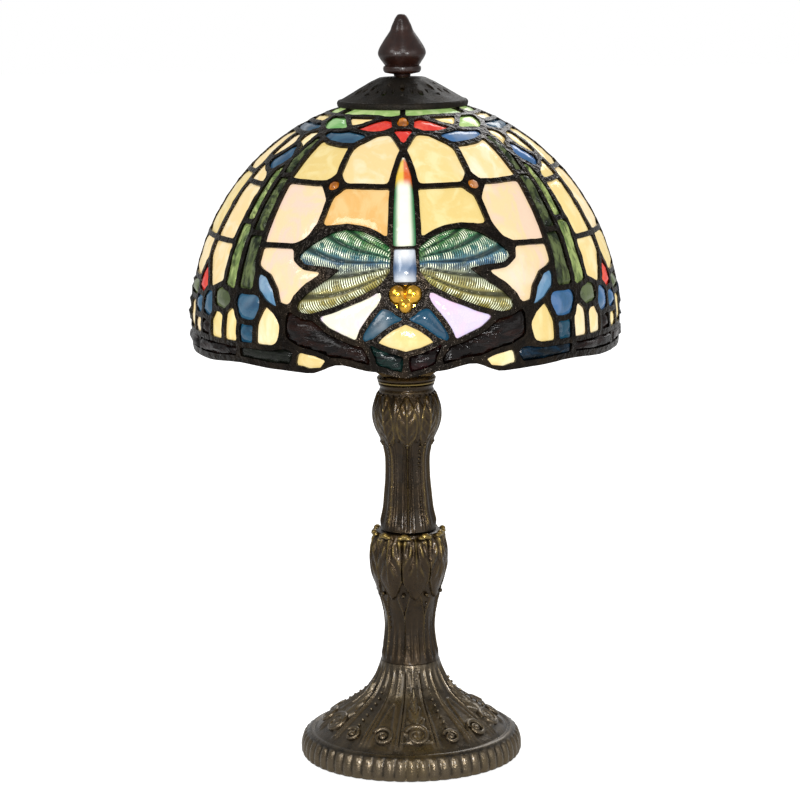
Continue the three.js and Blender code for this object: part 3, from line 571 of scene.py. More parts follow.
def thicken(bm: bmesh.types.BMesh, back: float, share: float = 0.0) -> None:
    """Gives a sheet a back at the height `back`, which follows a share of the front's relief."""
    sheet = bmesh.ops.extrude_face_region(bm, geom=bm.faces[:], use_keep_orig=True)
    for v in sheet["geom"]:
        if isinstance(v, bmesh.types.BMVert):
            v.co.z = back - share * v.co.z


def azimuth_of(point: Vector) -> float:
    """The angle of a point round the lamp, in degrees from the front."""
    return math.degrees(math.atan2(point.x, -point.y))


def round_axis(radius: float, azimuth: float) -> tuple[float, float]:
    """The place on the flat at a radius and an azimuth in degrees from the front."""
    turn = math.radians(azimuth)
    return radius * math.sin(turn), -radius * math.cos(turn)


def spline(p: float, q: float, r: float, s: float, t: float) -> float:
    """The value at a share t of the way from q to r, on a smooth curve through all four."""
    bend = (2 * p - 5 * q + 4 * r - s) * t * t
    twist = (3 * q - p - 3 * r + s) * t**3
    return 0.5 * (2 * q + (r - p) * t + bend + twist)


def curve_through(points: Sequence[tuple[float, float]], step: float) -> Outline:
    """A smooth line through the given points with about `step` millimetres between its own points."""
    ends = [points[0], *points, points[-1]]
    line: Outline = []
    for a, b, c, d in zip(ends, ends[1:], ends[2:], ends[3:]):
        pieces = max(1, round(math.dist(b, c) / step))
        for i in range(pieces):
            t = i / pieces
            x, z = (spline(*along, t) for along in zip(a, b, c, d))
            line.append((x, z))
    return [*line, points[-1]]


def node_box(name: str) -> tuple[Vector, Vector]:
    """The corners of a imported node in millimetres."""
    low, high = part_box(name)
    return low / MM, high / MM


# ---- The shade ----


@dataclass
class Dome:
    """The shape of the shade. Places on it are an azimuth from the front and a height, both in degrees."""

    rise: float = 105.5
    skirt: float = 11.4
    taper: float = 0.7
    proud: float = 0.6
    opening_radius: float = 26
    top: float = 75
    foot: float = -5.7
    scallops: Points = (
        (0, -5.7), (8, -4.3), (17, -2.9), (25, -5.1), (35, -4.8), (47, -4.3), (65, -5.2), (90, -5.2),
    )

    def __post_init__(self) -> None:
        """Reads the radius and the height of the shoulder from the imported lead."""
        low, high = node_box("shade_leading")
        self.radius = (high.x - low.x) / 2 - self.proud
        self.base = low.z + self.skirt
        self.opening = math.acos(self.opening_radius / self.radius)

    def place(self, azimuth: float, height: float, offset: float) -> Vector:
        """The point over a place on the dome, `offset` millimetres outside the glass."""
        radius, z = self.radius + offset, self.base
        if height >= 0:
            angle = height * self.opening / self.top
            radius *= math.cos(angle)
            z += (self.rise + offset) * math.sin(angle)
        else:
            radius -= self.taper * height / self.foot
            z -= self.skirt * height / self.foot
        turn = math.radians(azimuth)
        return Vector((radius * math.sin(turn), -radius * math.cos(turn), z))

    def scale(self, height: float) -> tuple[float, float]:
        """Millimetres for a degree of azimuth and for a degree of height."""
        across = math.radians(1) * self.radius * math.cos(max(height, 0) * self.opening / self.top)
        up = math.radians(1) * (self.radius + self.rise) / 2 * math.degrees(self.opening) / self.top
        return across, (up if height >= 0 else self.skirt / -self.foot)

    def lower_edge(self, azimuth: float) -> float:
        """The height of the scalloped lower edge at an azimuth."""
        at = abs(folded(azimuth, 2))
        for (a0, h0), (a1, h1) in zip(self.scallops, self.scallops[1:]):
            if at <= a1:
                return h0 + (h1 - h0) * smooth(at, a0, a1)
        return self.scallops[-1][1]


class Glass(Enum):
    """Kinds of glass, each with a tint and the colour of its streaks."""

    CREAM = (rgb(250, 220, 156), rgb(255, 240, 200))
    HONEY = (rgb(240, 212, 138), rgb(250, 232, 172))
    PEACH = (rgb(242, 190, 112), rgb(248, 212, 146))
    BLUSH = (rgb(250, 222, 170), rgb(246, 214, 196))
    PEARL = (rgb(252, 244, 216), rgb(236, 214, 240))
    OPAL = (rgb(226, 214, 240), rgb(248, 208, 222))
    MINT = (rgb(168, 202, 124), rgb(206, 222, 150))
    GREEN = (rgb(148, 182, 104), rgb(196, 214, 146))
    LEAF = (rgb(112, 172, 96), rgb(170, 208, 140))
    REED = (rgb(168, 184, 112), rgb(104, 126, 68))
    MOSS = (rgb(96, 108, 68), rgb(34, 44, 28))
    OLIVE = (rgb(92, 104, 66), rgb(56, 66, 42))
    BLUE = (rgb(52, 94, 122), rgb(34, 66, 96))
    AZURE = (rgb(66, 110, 162), rgb(44, 88, 120))
    TEAL = (rgb(30, 76, 100), rgb(22, 50, 72))
    SKY = (rgb(104, 148, 182), rgb(72, 108, 160))
    RED = (rgb(214, 52, 42), rgb(236, 96, 72))
    AMBER = (rgb(196, 116, 22), rgb(90, 40, 8))
    GOLD = (rgb(226, 172, 40), rgb(150, 96, 14))
    UMBER = (rgb(36, 18, 13), rgb(14, 8, 7))
    SLATE = (rgb(34, 38, 30), rgb(14, 16, 13))
    NIGHT = (rgb(16, 46, 68), rgb(9, 22, 30))
    DUSK = (rgb(24, 50, 46), rgb(10, 17, 18))
    PLUM = (rgb(44, 20, 22), rgb(16, 9, 10))
    SILVER = (rgb(196, 216, 214), rgb(140, 186, 170))
    TAIL = (rgb(214, 244, 206), rgb(140, 206, 170))


@dataclass(frozen=True)
class Tile:
    """One piece of glass: its outline on the dome and how it is worked.

    Attributes:
        glass: what it is cut from.
        outline: the azimuth and height of its corners, in degrees.
        crown: how far its middle stands out, in millimetres.
        rough: how deep the unevenness of its face is.
        cell: the size of the squares that it bends by.
        corner: how much of each corner is cut off.
    """

    glass: Glass
    outline: Points
    crown: float = 0.5
    rough: float = 0.12
    cell: float = 3.0
    corner: float = 0.9


def oval(azimuth: float, height: float, half_width: float, half_height: float) -> Points:
    """An oval outline."""
    corners = 12
    turns = [math.tau * i / corners for i in range(corners)]
    return tuple((azimuth + half_width * math.cos(t), height + half_height * math.sin(t)) for t in turns)


def mirrored(*half: tuple[float, float]) -> Points:
    """A whole outline from the half of it right of azimuth 0."""
    return (*half, *((-a, h) for a, h in reversed(half) if a > 0))


G = Glass
BODY = (G.TAIL, G.SILVER, G.GOLD)  # the dragonfly's tail, thorax and head

# A shade piece's finishes: clear glass, bark, reeds, wings and gilt. Kinds not named here take the first.
FINISHES = {1: (G.UMBER, G.SLATE, G.NIGHT, G.DUSK, G.PLUM), 2: (G.MOSS, G.REED), 4: (G.GOLD,)}
WING_FINISH = 3

# Kinds of pane that a whole face or a whole side shares. The others go by quarter.
FACE_KINDS = ("lower_field", "branch_glass")
SIDE_KINDS = ("side_field", "flower_glass", "border_glass")

# What two of the four copies of a tile are cut from instead.
OTHER_SHEET = {
    G.PEACH: G.HONEY, G.LEAF: G.MINT, G.BLUE: G.AZURE, G.SLATE: G.NIGHT, G.DUSK: G.PLUM, G.CREAM: G.HONEY,
    G.HONEY: G.CREAM, G.PEARL: G.OPAL,
}

# Tiles of one quarter, from the front's centre line to the side's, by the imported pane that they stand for.
QUARTER_TILES: dict[str, list[Tile]] = {
    "crown_glass": [
        Tile(G.GREEN, ((1.6, 70), (1.6, 75.2), (57, 75.2), (57, 70))),
        Tile(G.GREEN, ((60.5, 70), (60.5, 75.2), (88.6, 75.2), (88.6, 70))),
        Tile(G.RED, (
            (7, 66.8), (12, 67.2), (19, 65.6), (26.5, 62.9), (21, 61.9), (12, 62.6), (6.6, 63.6),
        ), 0.8),
        Tile(G.CREAM, ((19, 68.4), (39, 68.4), (31, 64.6), (25.5, 65.6))),
        Tile(G.LEAF, ((34.5, 62.9), (40, 66), (46.5, 68.2), (58, 68.2), (52.5, 64.6), (45.5, 62.6)), 0.8),
        Tile(G.HONEY, ((63, 65.6), (62.4, 68.4), (88.4, 68.4), (88.4, 65.6))),
        Tile(G.TEAL, ((55.5, 62.1), (60.5, 64.1), (88.4, 64.1), (88.4, 61.3), (59, 61.1)), 0.8),
    ],
    "upper_field": [
        Tile(G.CREAM, (
            (2.4, 53.6), (4.4, 57), (7.4, 60), (13, 59), (19.5, 56.6), (22.3, 54), (22.7, 46.4), (19.6, 43.3),
            (6, 42.9), (4.6, 46),
        )),
        Tile(G.HONEY, (
            (25.4, 54.6), (37, 56), (41.6, 57), (43, 52), (43.8, 44.3), (33, 43.6), (27.4, 44), (25.6, 46.4),
        )),
        Tile(G.BLUE, (
            (19.6, 58.7), (22.4, 60.4), (32, 60.9), (43.5, 60.4), (38, 57.6), (30, 56.6), (23.4, 57.2),
        ), 0.9),
    ],
    "middle_field": [
        Tile(G.PEACH, ((5, 28.4), (5, 41), (19.8, 41), (22.4, 39), (24, 31.8), (17, 31.8), (9.5, 30.6))),
        Tile(G.BLUSH, (
            (29.6, 41.7), (43.5, 41.9), (43.4, 25.9), (33, 26.2), (29.8, 28.2), (27.2, 32), (26.6, 37.4),
            (28, 40.4),
        )),
        Tile(G.BLUSH, (
            (32.8, 24.2), (43.3, 24.1), (43.4, 20.2), (38.6, 17.9), (35.7, 14.6), (34.6, 11), (32, 11.4),
            (30.8, 13.6), (27.4, 17), (23.4, 18.8), (28, 19.3), (31.8, 21.4),
        )),
        Tile(G.AMBER, oval(24.6, 42.1, 1.5, 1.15), 1.6, 0, 1.2),
    ],
    "stem_glass": [
        Tile(G.MOSS, ((45.4, 45.3), (45.6, 57.8), (47.8, 57.8), (49.8, 45.3)), 1.2, 0.35, 2),
        Tile(G.MOSS, ((45.1, 28.6), (45.3, 43.6), (50, 43.6), (50.1, 28.6)), 1.2, 0.35, 2),
        Tile(G.MOSS, ((44.9, 14), (45.1, 27), (50.1, 27), (49.9, 14)), 1.2, 0.35, 2),
        Tile(G.REED, ((51.5, 31.2), (51.6, 47.6), (54.4, 46), (55.2, 31.2)), 0.9, 0.25, 2),
        Tile(G.REED, ((51.4, 14), (51.6, 29.7), (55.8, 29.7), (55.9, 14)), 0.9, 0.25, 2),
    ],
    "lower_field": [
        Tile(G.PEARL, ((6.6, 14), (11, 12.3), (22, 7.9), (19.6, 5.5), (13, 3.1), (11.7, 6), (8.9, 10))),
        Tile(G.TEAL, (
            (0.9, 8.6), (3, 9.2), (5.8, 9.7), (8.2, 7.5), (10.4, 4.2), (10.3, 2.9), (8.7, 3.5), (3.6, 6.9),
            (1, 8),
        ), 0.9),
    ],
    "branch_glass": [
        Tile(G.UMBER, (
            (31, 8.6), (24.5, 6.9), (17, 3.2), (11.4, 0.9), (8.8, -1.4), (9.4, -3.2), (15.5, -1.7), (19, -1),
            (25.5, 0.9), (31, 3.4),
        ), 1.9, 0.45, 2),
        Tile(G.DUSK, (
            (0.8, -0.9), (4.8, 0.3), (8.8, 1.9), (7.9, -1.4), (6.8, -3.4), (3.4, -4.4), (0.9, -4.9),
        ), 1.7, 0.4, 1.6),
        Tile(G.HONEY, ((20.6, -2.2), (24, -1.2), (27.4, -1.3), (28.7, -3.4), (25.5, -4.5), (21.7, -4))),
    ],
    "side_field": [
        Tile(G.CREAM, ((58, 40), (69, 40.6), (68.4, 33), (69.6, 25.8), (58.7, 25.6), (57.9, 33))),
        Tile(G.CREAM, (
            (57.7, 23.9), (69.6, 23.7), (69.2, 19.6), (65.6, 14.2), (64.6, 13.4), (60, 14.4), (57.7, 15.4),
        )),
        Tile(G.CREAM, ((72, 45.2), (73, 59), (88.5, 59), (88.5, 45.2))),
        Tile(G.HONEY, ((71.4, 25.8), (71.4, 43.4), (88.5, 43.4), (88.5, 25.8))),
        Tile(G.CREAM, ((74.6, 14.8), (71.9, 19), (71.6, 24), (88.5, 24), (88.5, 14.8))),
        Tile(G.CREAM, ((58.6, 42), (61.6, 44.6), (69, 46.6), (69.7, 42.4))),
        Tile(G.CREAM, ((60.8, 55.7), (64, 57.6), (70.4, 58.8), (70.6, 50.6), (66, 50.8), (62.6, 53.4))),
        Tile(G.BLUE, (
            (53.2, 51), (54.4, 53.8), (56.6, 54.6), (58.6, 52),
            (63.8, 48.4), (61.6, 46.5), (57.4, 46.9), (54.6, 48.8),
        ), 0.9),
        Tile(G.CREAM, ((50.8, 52.4), (50.4, 57.6), (52.4, 60.6), (57.6, 59.6), (57.4, 56.6), (53.6, 55.6))),
    ],
    "flower_glass": [
        Tile(G.SKY, ((42.4, 17.2), (39.6, 16.9), (36.8, 14), (34.6, 9.9), (37.2, 10.9), (41.2, 13.9)), 0.9),
        Tile(G.BLUE, (
            (41.2, 9), (41.6, 11.7), (48.6, 12), (49.4, 9.5), (48, 7.1), (45.2, 6.3), (42.4, 7),
        ), 1.2),
        Tile(G.TEAL, ((42.9, 0.8), (42.9, 4.7), (47.4, 4.7), (47.4, 0.8)), 1.0, 0.3, 2),
        Tile(G.CREAM, (
            (35.5, 1.6), (34.7, 5), (36.3, 8), (38.4, 9.7), (39.8, 8), (41.3, 4.4), (41.5, 0.8), (37, 0.8),
        )),
        Tile(G.HONEY, ((49.2, 0.8), (49.8, 5.4), (51, 8), (53.4, 7), (54.2, 4), (54.2, 0.8))),
        Tile(G.OLIVE, (
            (53.2, 9.9), (54.6, 12.2), (57.2, 12.8), (60, 12), (60.8, 10), (58.6, 8.4), (55.4, 8.2),
        ), 1.2),
        Tile(G.HONEY, ((56, 0.8), (56, 5.6), (57.4, 7), (60, 6.4), (61.4, 4), (61.4, 0.8))),
        Tile(G.BLUE, ((61.6, 6.8), (62.4, 10.8), (66.4, 11.2), (67.6, 9), (66.8, 6.4), (63.6, 5.4)), 1.2),
        Tile(G.BLUE, ((69.2, 6.6), (69.4, 9.4), (73.4, 9.6), (74.6, 7.6), (73, 5.6), (70.4, 5.4)), 1.2),
        Tile(G.RED, ((66.3, 12.7), (67.6, 15.2), (70, 18.2), (73, 14.4), (72.6, 11.4), (69, 11)), 0.9),
        Tile(G.CREAM, ((69.4, 0.8), (69.4, 4), (74, 4), (74.4, 0.8))),
        Tile(G.UMBER, ((63.2, 0.8), (63.2, 3.4), (64.4, 4), (67.6, 4), (67.6, 0.8)), 1.2, 0.3),
        Tile(G.OLIVE, ((76, 9.4), (75.2, 12.4), (83.4, 12.8), (83.4, 9.4)), 1.2, 0.3),
        Tile(G.CREAM, ((76.2, 0.8), (76.4, 7.6), (82.8, 7.6), (82.8, 0.8))),
        Tile(G.SLATE, ((85.2, 0.8), (85.2, 12.8), (88.5, 12.8), (88.5, 0.8)), 1.6, 0.4, 2),
    ],
    "border_glass": [
        Tile(G.SLATE, (
            (30.4, -1), (31.6, -0.9), (47.6, -0.9), (47.6, -3.2), (36, -3.7), (31.2, -3.6),
        ), 1.7, 0.4, 2),
        Tile(G.UMBER, ((49.4, -0.9), (69.4, -0.9), (69.4, -4), (49.4, -3.3)), 1.7, 0.4, 2),
        Tile(G.UMBER, ((71.2, -0.9), (88.5, -0.9), (88.5, -4), (71.2, -4)), 1.7, 0.4, 2),
    ],
}

# Tiles on the centre line of the front and of the back.
CENTRE_TILES: dict[str, list[Tile]] = {
    "crown_glass": [
        Tile(G.AMBER, oval(0, 65.9, 4.2, 1.9), 1.8, 0, 1.2),
        Tile(G.RED, mirrored((0, 57), (1.4, 58.6), (4, 61.8), (0, 62.3)), 0.8),
    ],
    "dragonfly_body": [
        Tile(G.TAIL, mirrored((0, 52), (1.1, 50), (2.5, 46), (3.1, 38), (3.1, 25.7), (0, 25.7)), 2.6, 0.1, 1),
        Tile(G.SILVER, mirrored((0, 25.1), (2.9, 25.1), (3.1, 20), (2.9, 16.9), (0, 16.9)), 2.6, 0.1, 1),
        Tile(G.GOLD, mirrored(
            (0, 16.2), (1.9, 16.4), (3.6, 15.7), (4.3, 14.2), (3.9, 12.6), (2.2, 11.2), (1.2, 9.7), (0, 9.3),
        ), 2.6, 0, 0.7, 0.5),
    ],
    "lower_field": [
        Tile(G.HONEY, mirrored((0, 6.6), (3.4, 5.1), (7.2, 2.2), (3.6, 1), (0, 0.4))),
    ],
}

# One side's upper and lower wing, pressed as one piece.
WING_OUTLINE = (
    (3.9, 25.4), (8, 28.0), (12.5, 29.6), (17.5, 29.9), (22, 28.6), (27, 25.6), (30.3, 22.7), (28, 20.8),
    (22, 20.6), (17.3, 19.9), (21.2, 17.0), (26.5, 13.4), (28.8, 11), (28.2, 9.2), (25, 9.0), (18.5, 10.9),
    (12, 13.5), (6.8, 16.2), (3.9, 19.4),
)


@dataclass
class Pane:
    """A tile on its way into the shade.

    Attributes:
        node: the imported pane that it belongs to.
        tile: what is cut.
        turn: from an azimuth in the first quarter to the tile's own.
        outline: what it is cut to, in degrees.
        seed: a number of its own, which sets its unevenness.
        room: how far its outline may still grow, in millimetres.
        least: the least that it grows at a time. Below 0 it may shrink.
    """

    node: str
    tile: Tile
    turn: Callable[[float], float]
    outline: Outline
    seed: int
    room: float
    least: float


@dataclass
class GlassShade:
    """The leaded glass shade: tiles, pressed wings and the lead between them."""

    dome: Dome
    thickness: float = 2.6
    rim_drop: float = 0.35
    bevel: float = 0.5
    lead_thickness: float = 3.3
    lead_edge: float = 0.2
    lead_ridge: float = 0.95
    lead_width: float = 2.55
    point_spacing: float = 2.6
    wobble: float = 0.22
    fitting_rounds: int = 3
    wing_height: float = 20
    wing_cell: float = 0.8
    panes: list[Pane] = field(default_factory=list)

    def _flattened(self, outline: Sequence[tuple[float, float]]) -> tuple[list[Vector], float, float]:
        """An outline laid flat in millimetres, and the millimetres in a degree across and up."""
        middle = sum(h for _, h in outline) / len(outline)
        across, up = self.dome.scale(middle)
        return [Vector((a * across, h * up)) for a, h in outline], across, up

    def softened(self, tile: Tile, seed: int) -> Outline:
        """The outline with cut corners, points close together and a slight wobble, in degrees."""
        flat, across, up = self._flattened(tile.outline)
        line: list[Vector] = []
        for before, at, after in zip(flat[-1:] + flat[:-1], flat, flat[1:] + flat[:1]):
            first, last = (
                at + (end - at) * min(0.4, tile.corner / max((end - at).length, 1e-6))
                for end in (before, after)
            )
            line += [first, (first + last + 2 * at) / 4, last]
        points: list[Vector] = []
        for a, b in zip(line, line[1:] + line[:1]):
            pieces = max(1, math.ceil((b - a).length / self.point_spacing))
            points += [a.lerp(b, i / pieces) for i in range(pieces)]
        cut_by_hand = tile.cell > 1.5
        shaken = []
        for p in points:
            shake = noise.noise_vector(Vector((p.x * 0.22, p.y * 0.22, seed * 3.7)))
            shaken.append(p + (self.wobble if cut_by_hand else 0.0) * Vector(shake[:2]))
        return [(p.x / across, p.y / up) for p in shaken]

    def fit(self) -> None:
        """Cuts the tiles closer to each other, until the lead between them is about one width."""
        for _ in range(self.fitting_rounds):
            points: list[tuple[Vector, int]] = []
            for number, pane in enumerate(self.panes):
                points += [(self.dome.place(pane.turn(a), h, 0), number) for a, h in pane.outline]
            points += [(self.dome.place(a, self.dome.lower_edge(a) + 0.3, 0), -1) for a in range(360)]
            points += [(self.dome.place(a, self.dome.top + 1, 0), -1) for a in range(0, 360, 3)]
            tree = kdtree.KDTree(len(points))
            for i, (point, _) in enumerate(points):
                tree.insert(point, i)
            tree.balance()
            for number, pane in enumerate(self.panes):
                furthest = self.lead_width + 2 * pane.room
                gaps = []
                for a, h in pane.outline:
                    near = tree.find_range(self.dome.place(pane.turn(a), h, 0), furthest + 1)
                    others = [distance for _, i, distance in near if points[i][1] != number]
                    gaps.append(min(others, default=furthest))
                before, room = pane.outline, pane.room
                self._widen(pane, gaps)
                if self._tangled(pane.outline):
                    pane.outline, pane.room = before, room

    @staticmethod
    def _tangled(outline: Outline) -> bool:
        """Whether an outline crosses itself."""
        ends = [Vector(point) for point in outline]
        edges = list(zip(ends, ends[1:] + ends[:1]))
        return any(
            geometry.intersect_line_line_2d(*first, *second)
            for i, first in enumerate(edges)
            for second in edges[i + 2:len(edges) - (i == 0)]
        )

    def _widen(self, pane: Pane, gaps: Sequence[float]) -> None:
        """Moves each point of a pane's outline out, by half of what its gap is over the lead's width."""
        flat, across, up = self._flattened(pane.outline)
        edges = zip(flat, flat[1:] + flat[:1])
        outwards = 1 if sum(p.x * q.y - q.x * p.y for p, q in edges) > 0 else -1
        moves = [max(pane.least, min(pane.room, (gap - self.lead_width) / 2)) for gap in gaps]
        count = len(moves)
        even = [(moves[i - 1] + 2 * moves[i] + moves[(i + 1) % count]) / 4 for i in range(count)]
        grown = []
        for i, point in enumerate(flat):
            along = (flat[(i + 1) % count] - flat[i - 1]).normalized()
            grown.append(point + Vector((along.y, -along.x)) * outwards * even[i])
        ahead = []
        for i in range(count):
            after = (i + 1) % count
            ahead.append((grown[after] - grown[i]).dot(flat[after] - flat[i]) > 0)
        pane.outline = [(p.x / across, p.y / up) for i, p in enumerate(grown) if ahead[i] and ahead[i - 1]]
        pane.room = max(0.0, pane.room - max(even))

    def cut(self, pane: Pane) -> bmesh.types.BMesh:
        """Cuts one tile and bends it onto the dome.

        Args:
            pane: the tile, its outline and its place.

        Returns:
            The tile as a closed solid.
        """
        tile, seed = pane.tile, pane.seed
        flat, across, up = self._flattened(pane.outline)
        rim = [p.to_3d() for p in flat]
        bm = new_mesh()
        face = bm.faces.new([bm.verts.new(p) for p in rim])
        bmesh.ops.recalc_face_normals(bm, faces=[face])
        bevel = min(self.bevel, tile.cell * 0.35)
        bmesh.ops.inset_region(bm, faces=[face], thickness=bevel, use_even_offset=True)
        cut_grid(bm, tile.cell)
        edges = list(zip(rim, rim[1:] + rim[:1]))
        depths = {v: min(self._distance(v.co, a, b) for a, b in edges) for v in bm.verts}
        deepest = max(depths.values())
        for v, depth in depths.items():
            share = min(depth / deepest, 1)
            swell = math.sqrt(max(0, 1 - (1 - share) ** 2))
            lift = tile.crown * swell - self.rim_drop * (1 - smooth(depth, 0, 0.6))
            v.co.z = lift + tile.rough * smooth(depth, 0, 1) * self._relief(tile, v.co, seed)
            if tile.glass is Glass.GOLD:
                v.co.z = self._lobes(v.co.x / across, v.co.y / up)
        thicken(bm, -self.thickness)
        for face in bm.faces:
            face.material_index = next((i for i, kinds in FINISHES.items() if tile.glass in kinds), 0)
        for v in bm.verts:
            v.co = Vector((v.co.x / across, v.co.y / up, v.co.z))
        self._colour(bm, tile.glass, seed)
        for v in bm.verts:
            v.co = self.dome.place(pane.turn(v.co.x), v.co.y, v.co.z)
        bmesh.ops.recalc_face_normals(bm, faces=bm.faces[:])
        return bm

    @staticmethod
    def _lobes(azimuth: float, height: float) -> float:
        """The height of the dragonfly's head at a place: two round eyes over a smaller jaw."""
        thickness = 2.9
        lobes = ((-2.05, 14.1, 2.3), (2.05, 14.1, 2.3), (0, 11.2, 1.9))
        return max(
            thickness * math.sqrt(max(0, 1 - ((azimuth - a) ** 2 + (height - h) ** 2) / r**2))
            for a, h, r in lobes
        )

    @staticmethod
    def _distance(point: Vector, a: Vector, b: Vector) -> float:
        """How far a point in the flat lies from the edge from a to b."""
        along = max(0.0, min(1.0, (point - a).dot(b - a) / max((b - a).length_squared, 1e-9)))
        return (point - a.lerp(b, along)).length

    @staticmethod
    def _relief(tile: Tile, at: Vector, seed: int) -> float:
        """The hand-rolled unevenness of the glass at a point, from about -2 to 2."""
        stretch = 0.25 if tile.rough > 0.2 else 1.0
        upright = tile.glass in (Glass.MOSS, Glass.REED)
        x, y = (at.x, at.y * stretch) if upright else (at.x * stretch, at.y)
        return 3 * noise.noise(Vector((x * 0.35, y * 0.35, seed * 5.3))) + noise.noise(Vector((x, y, seed)))

    @staticmethod
    def _colour(bm: bmesh.types.BMesh, glass: Glass, seed: int) -> None:
        """Tints the glass, with some spread between tiles, and paints the dragonfly's tail and thorax, with a
        painted highlight down the tail and a painted reflection across the thorax.
        """
        shade = 1 + 0.07 * math.sin(seed * 12.9)
        warm = 1 + 0.06 * math.sin(seed * 7.3)
        scales = (shade, shade, shade * warm)
        tint, streak = (
            Vector((*(min(1.0, c * s) for c, s in zip(colour, scales)), 1)) for colour in glass.value
        )
        tints, streaks = (bm.verts.layers.float_color[name] for name in ("tint", "streak"))
        low, high = min(v.co.y for v in bm.verts), max(v.co.y for v in bm.verts)
        reach = max(abs(v.co.x) for v in bm.verts)
        for v in bm.verts:
            v[tints], v[streaks] = tint, streak
            side, rise = abs(v.co.x) / reach, (v.co.y - low) / (high - low)
            if glass is Glass.TAIL:
                # The tail's white middle, fading to green at the sides, is partly the glass's own colour and
                # partly a painted highlight.
                glow = Vector(rgb(252, 255, 232)).lerp(Vector(rgb(44, 128, 74)), smooth(side, 0.4, 0.9))
                tip = Vector(rgb(222, 92, 20) if v.co.x > -0.1 else rgb(236, 196, 74))
                hot = smooth(rise, 0.58, 0.7) * (1 - smooth(rise, 0.9, 0.98))
                # Painted highlight: the streak colour turns whiter towards the middle.
                pale = glow.lerp(Vector(rgb(255, 255, 250)), 0.35 * (1 - side))
                v[tints], v[streaks] = glow.lerp(tip, hot), pale.lerp(tip, 0.85 * hot)
            elif glass is Glass.SILVER:
                # Painted reflection: a white band across the blue thorax, whitest on its centre line.
                band = (0.5 + 0.5 * math.cos(math.tau * rise * 1.1 + 0.4)) * (1 - 0.6 * side)
                v[tints] = Vector(rgb(70, 96, 132)).lerp(Vector(rgb(250, 253, 255)), band)
                v[streaks] = Vector(rgb(140, 160, 186)).lerp(Vector(rgb(255, 255, 255)), band)

    def press(self, pane: Pane) -> bmesh.types.BMesh:
        """Presses one side's wings: long veins fan out from the root, green above, blue and then gold below.

        Args:
            pane: the wings, their outline and their place.

        Returns:
            The wings as a closed solid.
        """
        across, up = self.dome.scale(self.wing_height)
        rim = [Vector((a * across, h * up, 0)) for a, h in pane.outline]
        bm = new_mesh()
        face = bm.faces.new([bm.verts.new(p) for p in rim])
        bmesh.ops.inset_region(bm, faces=[face], thickness=self.bevel, use_even_offset=True)
        cut_grid(bm, self.wing_cell)
        root = Vector((-1.5 * across, 21.2 * up, 0))
        edges = list(zip(rim, rim[1:] + rim[:1]))
        floats, colours = bm.verts.layers.float, bm.verts.layers.float_color
        upper, middle, lower = rgb(58, 122, 66), rgb(74, 112, 142), rgb(158, 146, 76)
        for v in bm.verts:
            depth = min(self._distance(v.co, a, b) for a, b in edges)
            arm = v.co - root
            fan = math.degrees(math.atan2(arm.y, arm.x))
            bend = fan + 5 * math.sin(arm.length * 0.07)
            swell = abs(math.cos(math.radians(bend * 14))) ** 0.8
            v[floats["along"]] = arm.length
            v[floats["vein"]] = swell
            cushion = 0.3 + 1.1 * smooth(depth, 0, 5) + 1.5 * swell * smooth(depth, 0, 2)
            v.co.z = cushion - 0.6 * (1 - smooth(depth, 0, 0.6))
            share = smooth(fan, -26, 26)
            low = share < 0.5
            first, second = (lower, middle) if low else (middle, upper)
            tint = Vector(first).lerp(Vector(second), share * 2 if low else share * 2 - 1)
            v[colours["tint"]] = tint
            v[colours["streak"]] = Vector(rgb(206, 212, 150)).lerp(tint, 0.4)
        thicken(bm, -self.thickness)
        for face in bm.faces:
            face.material_index = WING_FINISH
        for v in bm.verts:
            v.co = self.dome.place(pane.turn(v.co.x / across), v.co.y / up, v.co.z)
        bmesh.ops.recalc_face_normals(bm, faces=bm.faces[:])
        return bm

    def leading(self) -> bmesh.types.BMesh:
        """Fills the dome between all the windows with lead, raised to a lumpy bead along each strip."""
        dome = self.dome
        pole = 100  # laid flat, a point's distance from the middle is this less its height in degrees
        around = range(0, 360, 2)
        loops = [[(a, dome.lower_edge(a)) for a in around], [(a, dome.top + 1.2) for a in around[::3]]]
        loops += [[(pane.turn(a), h) for a, h in pane.outline] for pane in self.panes]
        bm = outlined([[round_axis(pole - h, a) for a, h in loop] for loop in loops])
        edge_points = set(bm.verts)
        inner = [e for e in bm.edges if len(e.link_faces) == 2]
        bmesh.ops.subdivide_edges(bm, edges=inner, cuts=1, use_grid_fill=True)
        for v in bm.verts:
            lump = noise.noise(v.co * 0.45) + 0.6 * noise.noise(v.co * 1.3)
            v.co.z = self.lead_edge if v in edge_points else self.lead_ridge + 0.3 * lump
        thicken(bm, -self.lead_thickness, 0.5)
        for v in bm.verts:
            reach = math.hypot(v.co.x, v.co.y)
            v.co = dome.place(azimuth_of(v.co), pole - reach, v.co.z)
        bmesh.ops.recalc_face_normals(bm, faces=bm.faces[:])
        return bm

    def build(self) -> None:
        """Builds every tile in its packed pane's place, then the lead."""
        finishes = [
            ArtGlass().make(),
            TexturedGlass("branch_texture", (3, 3, 1)).make(),
            TexturedGlass("reed_texture", (1, 1, 5), glow=0.42).make(),
            PressedGlass().make(),
            Metal("gilt_head", rgb(232, 176, 48), rgb(150, 98, 16), 0.9, 0.14, 0.1, 0.6).make(),
        ]
        self.lay_out()
        self.fit()
        slots = {row["node"]: row["material_slot"] for row in frame["record"]["subparts"]}
        groups: dict[str, list[bmesh.types.BMesh]] = {}
        for pane in self.panes:
            build = self.press if pane.tile.outline is WING_OUTLINE else self.cut
            groups.setdefault(pane.node, []).append(build(pane))
        for node, parts in groups.items():
            make_piece(f"{node}_tiles", joined(parts), "shade", slots[node], finishes, [node])
        make_piece("lead_network", self.leading(), "shade", "lead", Solder().make(), ["shade_leading"], 70)

